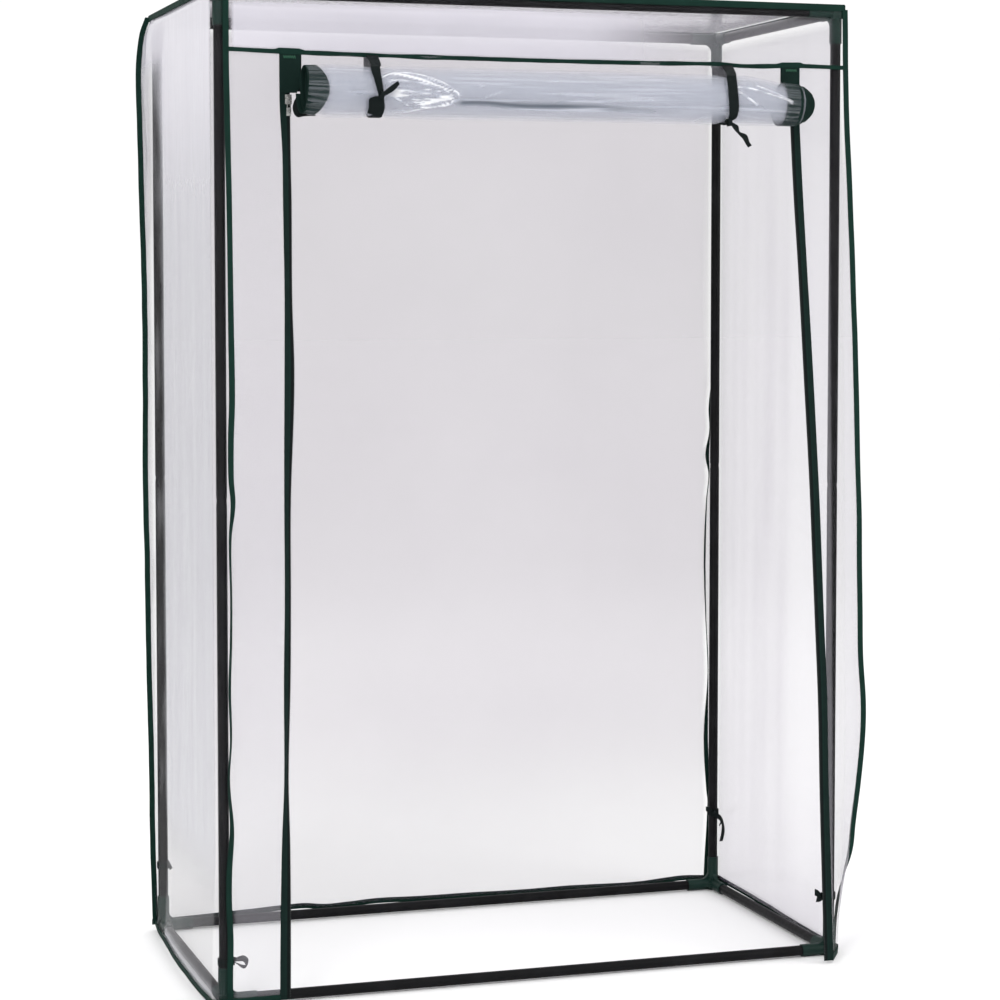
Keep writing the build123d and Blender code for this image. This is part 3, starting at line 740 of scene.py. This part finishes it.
def roofEdge(side, start, end, out):  # folded over the edge of the roof
    start, end, out = Vector(start), Vector(end), Vector(out)
    size = {"face": 9.5, "top": 6.0, "radius": 1.6}

    def place(u, v):
        s = u * (size["face"] + size["top"])
        at = start.lerp(end, v) + out * 0.15 * ripple(v * 30, 4)
        bend = size["radius"] * math.pi / 2
        if s < size["face"] - bend / 2:
            return at + out * 1.3 + Vector((0, 0, 1 - size["face"] + s + 0.2 * ripple(v * 40, 2) * (1 - u)))
        a = min((s - size["face"] + bend / 2) / size["radius"], math.pi / 2)
        rest = max(s - size["face"] - bend / 2, 0)
        corner = at + out * (1.3 - size["radius"]) + Vector((0, 0, 1 - bend / 2))
        return corner + out * (size["radius"] * math.cos(a) - rest) + Vector((0, 0, size["radius"] * math.sin(a)))
    bm = gridShape((12, 80), (15.5, (end - start).length), place)
    return addPiece(f"{side}_roof_tape", bm, "binding", root, [f"{side}_roof_binding"], 1.1, 0.3)


def hem(node, length, middle):
    return tape(f"{node}_tape", length, seamWidth, (4, 90), middle, lambda v: (0, 0, 1),
                "binding", [node], bindingWall)


def rearHemPoint(v):
    x = -507 + (483 + 507) * v
    return x, house["rear"] + 1.5 + 2.2 * abs(ripple(x * 0.012, 6)), lineAt("rearHem", x)


def leftHemPoint(v):
    s = v * hemRun
    at, out = leftWrap(s)
    at = at + out * (1.2 + 0.8 * ripple(v * 9, 3))
    at.x -= lineAt("leftHemBow", at.y) * fade((s - wrapRun + 4) / 14)
    at.z = lineAt("leftHem", at.y)
    return at


def rightHemPoint(v):
    at, out = leftWrap(v * hemRun)
    at, out = halfTurned(at), Vector((-out.x, -out.y, 0))
    at = at + out * (1.2 + 0.8 * ripple(v * 9, 5))
    at.z = lineAt("rightHem", at.y)
    return at


def leftStripHemPoint(v):
    return -484 + 76 * v, house["front"] - 1.2, 8.6 + 0.5 * ripple(v * 5, 1)


def rightStripHemPoint(v):
    at = Vector(rightStrip(v, 0.0))
    return at.x, at.y - 0.6, 8.6


def overPatch(x):
    return max(fade((abs(x + 388) - 15) / 8), fade((abs(x - 408) - 15) / 8))


def seamX(v):
    return -480 + (500 + 480) * v


def seamPoint(v):
    x = seamX(v)
    y = house["front"] - 1.9 - 0.5 * ripple(x * 0.02, 8) - 1.6 * overPatch(x)
    return x, y, lineAt("valance", x) + overPatch(x)


def seamAcross(v):
    thick = 1 + 0.4 * overPatch(seamX(v))
    return 0, 0.25 * ripple(v * 14, 2), (0.92 + 0.3 * ripple(v * 18, 6)) * thick


front, rear, side, top = house["front"], house["rear"], house["side"], house["roof"]
edges = [
    edgeBinding("front_left", 5, 1494, frontLeftPoint, lambda z: lineAt("frontLeftTurn", z)),
    edgeBinding("front_right", 6, 1494, frontRightPoint, frontRightTurn),
    edgeBinding("rear_left", 12, 1499, rearLeftPoint, lambda z: 14 * ripple(z * 0.01, 8)),
    edgeBinding("rear_right", 14, 1494, rearRightPoint, lambda z: lineAt("rearRightTurn", z)),
    roofEdge("front", (-side, front, top), (side, front, top), (0, -1, 0)),
    roofEdge("rear", (side, rear, top), (-side, rear, top), (0, 1, 0)),
    roofEdge("left", (-side, rear, top), (-side, front, top), (-1, 0, 0)),
    roofEdge("right", (side, front, top), (side, rear, top), (1, 0, 0)),
    hem("left_hem", 520, leftHemPoint),
    hem("right_hem", 520, rightHemPoint),
    hem("rear_hem", 990, rearHemPoint),
    hem("left_strip_hem", 76, leftStripHemPoint),
    hem("right_strip_hem", 60, rightStripHemPoint),
    tape("valance_seam_tape", 980, 7.0, (5, 220), seamPoint, seamAcross, "binding",
         ["valance_binding"], wall=1.9),
]
print("binding", len(edges))


# zips: a tape with its coil on each front strip, and the wide patch under the seam

zipParts = {"low": 5.0, "high": 1404.0, "tooth": (1.5, 0.9, 0.75), "pitch": 2.6, "patchLow": 1345.5, "patchWidth": 31.0}


def leftTapeAt(z):
    turn = math.radians(lineAt("leftTapeTurn", z))
    return Vector((lineAt("leftTape", z), house["front"] - 1.0, z)), Vector((math.cos(turn), math.sin(turn), 0))


def rightTapeAt(z):
    turn = math.radians(8 * ripple(z * 0.005, 3) * ease((1330 - z) / 200))
    return (Vector((lineAt("rightTape", z), house["front"] - 1.0 - rightLean(z), z)),
            Vector((-math.cos(turn), math.sin(turn), 0)))


def zipCoil(name, tapeAt):
    bm = bmesh.new()
    z = zipParts["low"] + 4
    while z < zipParts["patchLow"] - 4:
        at, across = tapeAt(z)
        out = across.cross(Vector((0, 0, 1)))
        if out.y > 0:
            out = -out
        spot = (at + across * (tapeWidth / 2 - 0.9) + out * 0.9) * mm
        turn = Matrix((across, out, Vector((0, 0, 1)))).transposed().to_4x4()
        size = Matrix.Diagonal((*[s * mm for s in zipParts["tooth"]], 1))
        bmesh.ops.create_icosphere(bm, subdivisions=1, radius=1, matrix=Matrix.Translation(spot) @ turn @ size)
        z += zipParts["pitch"]
    return addPiece(name, bm, "coil")


def zipSet(side, tapeAt, inward, patchFrom):
    rise = upright(zipParts["low"], zipParts["high"])
    band = tape(f"{side}_zip_band", zipParts["high"] - zipParts["low"], tapeWidth, (8, 200),
                lambda v: tapeAt(rise(v))[0], lambda v: tapeAt(rise(v))[1], "zip",
                [f"{side}_zip_tape"], wall=1.0)
    coil = zipCoil(f"{side}_zip_coil", tapeAt)

    def patch(u, v):
        z = zipParts["patchLow"] + (1406 - zipParts["patchLow"]) * v
        narrow = 1 - 0.35 * fade(v / 0.16) if u > 0.5 else 1
        x = patchFrom + inward * zipParts["patchWidth"] * (0.5 + (u - 0.5) * narrow)
        return x, house["front"] - 3.7 + 1.6 * fade(v / 0.2) * (1 - u) - 0.35 * ripple(u * 2, v * 3, 4), z
    bm = gridShape((10, 24), (zipParts["patchWidth"], 60), patch)
    cover = addPiece(f"{side}_zip_patch", bm, "patch", root, (), 0.8, 0.25)
    bm = bmesh.new()
    for k in range(13):
        x = patchFrom + inward * (6 + 17 * k / 12)
        lean = Matrix.Rotation(math.radians(18 if k % 2 else -18), 4, "Y")
        spot = Matrix.Translation(Vector((x, house["front"] - 4.3, 1397.5)) * mm)
        size = Matrix.Diagonal((0.55 * mm, 0.4 * mm, 2.9 * mm, 1))
        bmesh.ops.create_icosphere(bm, subdivisions=2, radius=1, matrix=spot @ lean @ size)
    tack = addPiece(f"{side}_bar_tack", bm, "thread")
    return band, coil, cover, tack


zips = [*zipSet("left", leftTapeAt, 1, -403.0), *zipSet("right", rightTapeAt, -1, 423.0)]
print("zips", len(zips))


# the door: a flat stretch under the seam, and the roll with the zip tape wound into its ends

roll = {"y": -247.6, "z": 1347.5, "radius": 40.0, "pitch": 3.6, "turns": 8.5, "left": -380.0, "right": 398.0,
        "slip": 43.0, "slipFrom": 0.28, "tapeWidth": 27.0}
ties = {  # where each strap leaves the seam, then its angle on the roll, place across and width down to the knot
    "left": {"seam": -264.0, "knotX": -271.0, "knot": 192.0,
             "path": [(104, -271, 15), (125, -275.5, 14), (156, -275.5, 12), (176, -273.5, 10),
                      (192, -271, 8.5)]},
    "right": {"seam": 301.0, "knotX": 279.0, "knot": 236.0,
              "path": [(104, 288, 16), (125, 282.5, 16), (158, 279, 16), (199, 281, 16), (225, 283, 13.5),
                       (236, 280, 9)]},
}
creases = [  # lines of (place across, degrees) in the outer turn, with their height, width and glint
    ([(-269, 148), (-258, 141), (-246, 139), (-226, 141), (-207, 148), (-190, 156), (-178, 164), (-165, 174),
      (-156, 184), (-154, 192), (-156, 200), (-167, 207), (-178, 211), (-192, 214), (-209, 216)], 2.6, 3.2, 0.8),
    ([(-255, 180), (-238, 181), (-220, 184), (-200, 186), (-180, 191), (-165, 190)], 2.4, 2.6, 0.9),
    ([(-254, 159), (-237, 161), (-217, 164), (-194, 169), (-180, 175), (-171, 182)], 2.0, 3.0, 0.55),
    ([(-247, 147), (-230, 149), (-213, 155), (-197, 163)], 1.6, 2.4, 0.55),
    ([(-260, 188), (-252, 195), (-239, 205), (-230, 213)], 1.6, 2.0, 0.6),
    ([(-207, 212), (-193, 201), (-179, 199), (-168, 196)], 1.4, 2.4, 0.5),
    ([(-155, 172), (-139, 167), (-125, 163), (-115, 168)], 1.2, 2.6, 0.4),
    ([(-117, 195), (-107, 188), (-89, 180)], 1.2, 2.4, 0.35),
    ([(290, 152), (309, 157), (328, 162), (343, 166), (359, 170), (371, 175), (379, 183)], 2.2, 2.4, 0.95),
    ([(288, 162), (296, 170), (303, 178), (319, 194)], 2.0, 2.2, 0.9),
    ([(321, 148), (338, 155), (356, 163), (370, 170), (379, 177)], 1.8, 2.2, 0.75),
    ([(224, 244), (233, 231), (251, 226)], 1.4, 2.4, 0.4),
    ([(300, 221), (313, 224), (329, 227)], 1.2, 2.4, 0.4),
    ([(60, 152), (150, 158), (240, 150)], 1.0, 4.0, 0.12),
]
folds = [  # lines that the film sinks into, with their depth and the darkness of the shade painted along them
    ([(-167, 205), (-147, 206), (-126, 205), (-106, 206), (-76, 210), (-46, 211.5), (-16, 211), (19, 210), (64, 210),
      (95, 213), (141, 216), (175, 220), (204, 223), (237, 219)], 3.4, 1.0),
    ([(96, 199), (150, 203), (200, 207), (262, 204)], 1.0, 0.3),
    ([(255, 214), (279, 208), (309, 200), (340, 196), (368, 193)], 1.8, 0.6),
    ([(-325, 179), (-315, 184), (-295, 190), (-281, 192)], 1.6, 0.55),
    ([(-315, 218), (-298, 219), (-281, 219)], 1.2, 0.35),
]


def rollEnds(x):  # the roll is slimmer at its ends: its size there, and how far it drops
    left, right = fade((x + 385) / 50), ease((x - 300) / 95)
    return 1 - 0.08 * left - 0.15 * right, 1.5 * left - 5.5 * right


def rollPoint(x, angle, radius):
    size, drop = rollEnds(x)
    return x, roll["y"] + radius * size * math.cos(angle), roll["z"] + drop + radius * size * math.sin(angle)


def nearLine(line, x, degrees, reach):  # how far a point of the roll is from a line, and on which side
    if not line[0][0] - reach < x < max(p[0] for p in line) + reach:
        return None
    scale = math.radians(1) * roll["radius"]
    spot = Vector((x, degrees * scale))
    best = (1000.0, 0.0)
    for a, b in zip(line, line[1:]):
        a, b = Vector((a[0], a[1] * scale)), Vector((b[0], b[1] * scale))
        t = min(max((spot - a).dot(b - a) / (b - a).length_squared, 0), 1)
        off = spot - a.lerp(b, t)
        if off.length < best[0]:
            best = (off.length, off.y)
    return best


def fanned(x, degrees):  # creases of the puffed stretch that run together at its right end
    reach = -150 - x
    if not 0 < reach < 118:
        return 0.0, 0.0
    slope = (degrees - 191) * 0.7 / (reach + 14)
    inside = ease(reach / 14) * fade((reach - 96) / 20) * fade((abs(slope + 0.05) - 0.33) / 0.07)
    return inside, ripple(slope * 15, reach * 0.014, 2) + 0.55 * ripple(slope * 37, reach * 0.03, 5)


def crumple(x, degrees):  # lift, glint and shade of the outer turn, with degrees counted from the rear over the top
    lift = 0.8 * ripple(x * 0.008, degrees * 0.02, 3) + 0.4 * ripple(x * 0.02, degrees * 0.07, 6)
    inside, streak = fanned(x, degrees)
    lift += inside * 1.3 * streak
    glint = inside * 0.7 * ease((streak - 0.1) / 0.3)
    shade = inside * 0.3 * ease((-streak - 0.1) / 0.35)
    paintedStreaks = ripple(x * 0.005, degrees * 0.13, 21) + 0.5 * ripple(x * 0.012, degrees * 0.33, 23)  # lengthwise streaks of painted highlight and painted shade
    glint = max(glint, 0.2 * ease((paintedStreaks - 0.08) / 0.4))
    shade = max(shade, 0.16 * ease((-paintedStreaks - 0.08) / 0.4))
    broken = min(max(0.7 + 1.2 * ripple(x * 0.055, degrees * 0.09, 11), 0.2), 1)
    for line, height, width, shine in creases:
        near = nearLine(line, x, degrees, 8)
        if near:
            lift += height * bell(near[0], width)
            glint = max(glint, shine * broken * bell(near[0], 1.4))
    # each fold sinks the film and paints shade along it, softer and wider above the line
    for line, depth, dark in folds:
        near = nearLine(line, x, degrees, 4)
        if near:
            away, below = near
            run = line[-1][0] - line[0][0]
            ends = ease((x - line[0][0] + 6) / 30) * fade((x - line[-1][0] + 0.62 * run) / (0.74 * run))
            lift -= depth * ends * math.exp(-away / (3.0 if below > 0 else 6.0))
            core = bell(away, 5.6) if below > 0 else max(bell(away, 7.6), 0.42 * math.exp(-away / 14))
            shade = max(shade, dark * ends * core)
    puff = bell((x + 205) / 55, 1) * bell((degrees - 178 - (x + 205) * 0.35) / 30, 1)
    lift += 3.0 * ease(puff * 1.5)
    for tie in ties.values():
        pinch = bell(x - tie["knotX"] - 2, 17)
        lift = lift * (1 - pinch) - 4.0 * pinch
    return lift, glint, shade


doorWidth = roll["right"] - roll["left"] - 6
outerTurns = 1.04


def acrossDoor(u):
    return roll["left"] + 1.5 + doorWidth * u


def spiral(v, first, last):
    turned = first + (last - first) * v
    return turned, roll["radius"] - roll["pitch"] * turned


def slipped(radius):  # the turns slid along one another, to a hollow on the left and a dome on the right
    return roll["slip"] * max(math.sqrt(max(1 - (radius / roll["radius"]) ** 2, 0)) - roll["slipFrom"], 0)


def outerTurn(u, v):
    turned, radius = spiral(v, 0.0, outerTurns)
    x = acrossDoor(u) + slipped(radius)
    held = ease(v / 0.12) * fade((v - 0.86) / 0.14)
    lift = crumple(x, 360 - 360 * turned)[0] * held
    return rollPoint(x, -2 * math.pi * turned, radius + lift)


def markRoll(piece, plain, at):  # how dense the film looks, made denser where shade and glints are painted, and 0 for the painted shade in a fold, 0.5 on a plain turn, 1 for a painted glint on a crease
    veil = piece.data.attributes.new("veil", "FLOAT", "POINT")
    tone = piece.data.attributes.new("shade", "FLOAT", "POINT")
    for vert in piece.data.vertices:
        glint, shade, x = at(vert.co / mm)
        left = 0.86 * fade((x + 350) / 6) + 0.14 * fade((x + 377) / 5)
        covered = max(left, 0.88 * ease((x - 364) / 14))  # over the tape
        veil.data[vert.index].value = plain * (1 - 0.97 * covered) + 0.85 * shade + 0.75 * glint
        tone.data[vert.index].value = 0.5 - 0.5 * shade * (1 - glint) + 0.5 * glint


def innerTurns(u, v):
    turned, radius = spiral(v, outerTurns, roll["turns"])
    x = acrossDoor(u) + slipped(radius)
    return rollPoint(x, -2 * math.pi * turned, radius + 0.35 * ripple(x * 0.01, turned * 3, 4))


def woundTape(start, hidden):
    def place(u, v):
        turned, radius = spiral(v, 0.02, roll["turns"])
        uneven = 5 - 14 * math.sin(2 * math.pi * turned) ** 2
        wide = roll["tapeWidth"] - hidden * slipped(radius) + uneven * (hidden > 0)
        x = start + wide * u + slipped(radius) + 0.8 * ripple(turned * 2, 5)
        return rollPoint(x, -2 * math.pi * turned, radius - 0.9 + 0.25 * ripple(turned * 3, u))
    return place


def doorSheet(u, v):
    x = acrossDoor(u)
    z = roll["z"] + (stripTop - roll["z"]) * v
    return x, house["front"] - 2.5 + 0.5 * ripple(x * 0.015, v * 2, 7) * math.sin(math.pi * v), z


def doorPieces():
    outer = addPiece("door_roll_outer", gridShape((430, 140), (doorWidth, 260), outerTurn), "roll",
                     "door_roll", ["door_roll"])

    def outerMark(at):
        degrees = math.degrees(math.atan2(at.z - roll["z"] - rollEnds(at.x)[1], at.y - roll["y"])) % 360
        return *crumple(at.x, degrees)[1:], at.x
    markRoll(outer, 0.15, outerMark)
    inner = addPiece("door_roll_inner", gridShape((60, 300), (doorWidth, 1160), innerTurns), "roll",
                     "door_roll")
    markRoll(inner, 0.22, lambda at: (0.0, 0.0, 0.0))
    soft = [outer, inner]
    for name, start, hidden in (("left", roll["left"], 0.82), ("right", roll["right"] - roll["tapeWidth"], 0)):
        bm = gridShape((6, 380), (roll["tapeWidth"], 1420), woundTape(start, hidden))
        soft.append(addPiece(f"door_{name}_wound_tape", bm, "patch", "door_roll",
                             [f"door_{name}_edge_tape"], 1.0))
    for piece in soft:
        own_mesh(piece)
    sheet = addPiece("door_top", gridShape((60, 40), (doorWidth, 57), doorSheet), "film", None,
                     ["door_sheet"], house["film"])
    markPoints(sheet, "loose", lambda at: 0.5)
    hung = [sheet]
    for name, x in (("left", roll["left"] - 2.5), ("right", roll["right"] - 7)):
        def strip(u, v, x=x):
            return x + 12 * u, house["front"] - 3.1, roll["z"] + (stripTop - roll["z"]) * v
        hung.append(addPiece(f"door_{name}_top_tape", gridShape((4, 40), (12, 57), strip), "strap",
                             None, (), 0.7))
    for piece in hung:
        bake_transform(piece)
    return soft + hung


door = doorPieces()
print("door", len(door))


# straps: each follows keys of (point, direction across, width)

strapCloth = {"wall": 1.0, "rounded": 0.28}


def strap(name, keys, cells, body=root, nodes=()):
    def key(row, part):
        return [(i, k[row][part] if row < 2 else k[2]) for i, k in enumerate(keys)]
    lengths = sum((Vector(a[0]) - Vector(b[0])).length for a, b in zip(keys, keys[1:]))

    def place(u, v):
        at = v * (len(keys) - 1)
        point = Vector([along(key(0, p), at) for p in range(3)])
        across = Vector([along(key(1, p), at) for p in range(3)]).normalized()
        return point + across * ((u - 0.5) * along(key(2, 0), at))
    bm = gridShape(cells, (keys[0][2], lengths), place)
    return addPiece(name, bm, "strap", body, nodes, strapCloth["wall"], strapCloth["rounded"])


def overRoll(tie, radius):  # keys of the front strap, from the seam over the roll to the knot
    keys = [((tie["seam"], house["front"] - 3.4, 1403), (1, 0, 0), 18.0)]
    for k, (angle, x, width) in enumerate(tie["path"]):
        keys.append((rollPoint(x, math.radians(angle), radius), (1, 0, 0.08 * math.sin(2.2 * k)), width))
    return keys


def underRoll(tie, radius):  # keys of the rear strap, down behind the roll and under it to the knot
    keys = [((tie["seam"] - 4, house["front"] + 1.0, 1403), (1, 0, 0), 15.0)]
    for k in range(13):
        t = k / 12
        angle = math.radians((tie["knot"] - 360) * t)
        x = tie["seam"] - 4 + (tie["knotX"] - tie["seam"] + 4) * (0.25 + 0.75 * t)
        tight = radius - 3.4 * ease((t - 0.3) / 0.2)
        keys.append((rollPoint(x, angle, tight), (1, 0, 0), 15.0 - 7.0 * ease((t - 0.8) / 0.2)))
    return keys


def knotBand(name, at, tilt):  # the short turn of tape that holds a knot together
    at = Vector(at)

    def place(u, v):
        a = 2 * math.pi * 1.12 * v
        size = 1 + 0.09 * v + 0.06 * ripple(v * 5, u * 2, at.x)
        wide = 0.9 * (u - 0.5) * 8.5 * (1 - 0.25 * math.cos(2 * a))
        ring = Vector((wide, 4.2 * math.cos(a) * size, 5.2 * math.sin(a) * size))
        ring.rotate(Matrix.Rotation(tilt, 3, "Y"))
        return at + ring
    bm = gridShape((8, 40), (9, 34), place)
    return addPiece(name, bm, "strap", root, (), strapCloth["wall"], strapCloth["rounded"])


def doorTie(side, tails):
    tie = ties[side]
    front = overRoll(tie, 39.4)
    rear = underRoll(tie, 41.2)
    knot = rollPoint(tie["knotX"], math.radians(tie["knot"]), 43.0)
    made = [
        strap(f"{side}_front_strap", front, (6, 70), nodes=[f"{side}_front_tie"]),
        strap(f"{side}_rear_strap", rear, (6, 80), nodes=[f"{side}_rear_tie"]),
        knotBand(f"{side}_tie_knot", knot, math.radians(tails["tilt"])),
    ]
    for k, keys in enumerate(tails["routes"]):
        route = [((knot[0] + p[0], knot[1] + p[1], knot[2] + p[2]), a, w) for p, a, w in keys]
        made.append(strap(f"{side}_tie_tail_{k + 1}", route, (5, 26)))
    for piece in made:
        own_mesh(piece)
    return made


tailShapes = {  # points from the knot, across direction and width
    "left": {"tilt": 25, "routes": [
        [((1, -2, 1), (-0.5, 0.2, 0.8), 5), ((8, -4, 6), (-0.55, 0.25, 0.8), 7.5), ((16, -5, 12), (-0.5, 0.3, 0.8), 8),
         ((24, -4, 19), (-0.4, 0.3, 0.85), 5.5)],
        [((-4, 1, -1), (1, 0, 0), 12), ((-8, 2, -5), (1, 0, -0.03), 21), ((-7.5, 5.5, -13), (0.95, 0.15, -0.14), 23),
         ((-6.5, 12.5, -21), (0.92, 0.26, -0.24), 24), ((-6, 19.5, -27), (0.93, 0.28, -0.18), 26)],
    ]},
    "right": {"tilt": -10, "routes": [
        [((-2, 0, -2), (0.8, 0.5, 0.3), 7), ((-8, 2, -3), (0.3, 0.9, 0.4), 9), ((-14, 5, -2), (0.1, 1, 0.3), 9)],
        [((3, -1, -2), (0.6, 0.6, 0.5), 7), ((10, -2, -8), (0.75, 0.4, 0.5), 11), ((16, 0, -16), (0.5, 0.75, 0.4), 10),
         ((25, -1, -22), (0.7, 0.4, 0.6), 11), ((31, 2, -31), (0.8, 0.5, 0.35), 10),
         ((35, 2, -36), (0.8, 0.5, 0.35), 10)],
    ]},
}
doorTies = [*doorTie("left", tailShapes["left"]), *doorTie("right", tailShapes["right"])]
link = strap("left_door_tape_link", [
    ((-380.5, -210.5, 1336), (0.4, -0.3, 0.85), 7), ((-381.5, -213, 1326), (0.75, -0.4, 0.5), 8),
    ((-380.5, -219, 1317), (0.8, -0.1, 0.6), 9), ((-377, -228, 1312), (0.8, 0.3, 0.5), 11),
    ((-370, -239, 1310.8), (1, 0.1, 0.1), 13), ((-366, -250, 1310.6), (1, 0, 0), 14)],
             (6, 40), body="door_roll")
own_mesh(link)
print("door ties", len(doorTies))


# tapes that tie the cover to the posts

cornerTies = {  # height on the post, which way the knot faces in degrees, and the loose ends from the knot
    "front_left": {"height": 66, "face": 20, "routes": [
        [((0, 0, 0), (0, 1, 0.2), 6), ((7, 1, 1), (0, 0.9, 0.5), 8), ((16, 0, 2), (0.2, 0.5, 0.85), 9),
         ((21, -1, -4), (0.5, 0.3, 0.85), 10), ((16, -2, -10), (0.3, 0.6, -0.7), 9), ((7, -1, -5), (0, 1, -0.3), 8),
         ((0, 0, -1), (0, 1, 0), 6)]]},
    "front_right": {"height": 95, "face": 200, "routes": [
        [((0, 0, 0), (0, 0.6, 0.8), 6), ((-7, -2, 5), (0.1, 0.5, 0.9), 10), ((-15, -3, 9), (0.2, 0.4, 0.9), 11)],
        [((0, -1, -1), (0.2, 0.6, 0.8), 6), ((-6, -4, -2), (0.3, 0.5, 0.8), 10),
         ((-13, -5, -2), (0.4, 0.4, 0.8), 10)]]},
    "rear_left": {"height": 110, "face": 60, "routes": [
        [((0, 0, 0), (0, 0.8, 0.6), 6), ((5, -2, -3), (0.3, 0.7, 0.5), 8), ((8, -3, -10), (0.6, 0.6, 0.2), 8)]]},
    "rear_right": {"height": 138, "face": 245, "routes": [
        [((0, 0, 0), (0.7, 0.2, 0.6), 6), ((9, -6, -5), (0.8, 0.4, 0.3), 9), ((14, -12, -16), (0.6, 0.7, 0.2), 10),
         ((14, -14, -32), (0.8, 0.5, 0.1), 10), ((11, -13, -48), (0.9, 0.4, 0), 8)],
        [((0, 0, 2), (0.4, 0.4, 0.8), 6), ((-7, -4, 7), (0.3, 0.5, 0.8), 9), ((-14, -3, 9), (0.2, 0.6, 0.8), 9)],
        [((1, -2, -2), (0.6, 0.3, 0.6), 6), ((8, -8, -6), (0.4, 0.6, 0.6), 9), ((12, -12, -12), (0.3, 0.8, 0.4), 9),
         ((9, -10, -20), (0.5, 0.7, 0.3), 8)]]},
}


def cornerTie(name, shape):
    x, y = posts[name]
    h = shape["height"]

    def wound(u, v):
        a = 2 * math.pi * 1.9 * v + math.radians(shape["face"])
        r = 8.9 + 1.1 * v + 0.15 * ripple(v * 8, u, x)
        return x + r * math.cos(a), y + r * math.sin(a), h + (u - 0.5) * 9.5 + 3.0 * (v - 0.5) + 0.6 * math.sin(3 * a)
    made = [addPiece(f"{name}_tie_wrap", gridShape((6, 80), (9.5, 112), wound), "strap", root,
                     ["corner_ties"], 0.9, 0.25)]
    face = math.radians(shape["face"])
    knot = Vector((x + 14.5 * math.cos(face), y + 14.5 * math.sin(face), h))
    made.append(knotBand(f"{name}_tie_knot", knot, face))
    for k, keys in enumerate(shape["routes"]):
        route = [(tuple(knot + Vector(p)), a, w) for p, a, w in keys]
        made.append(strap(f"{name}_tie_tail_{k + 1}", route, (5, 34)))
    return made


postTies = [piece for name, shape in cornerTies.items() for piece in cornerTie(name, shape)]
print("post ties", len(postTies))
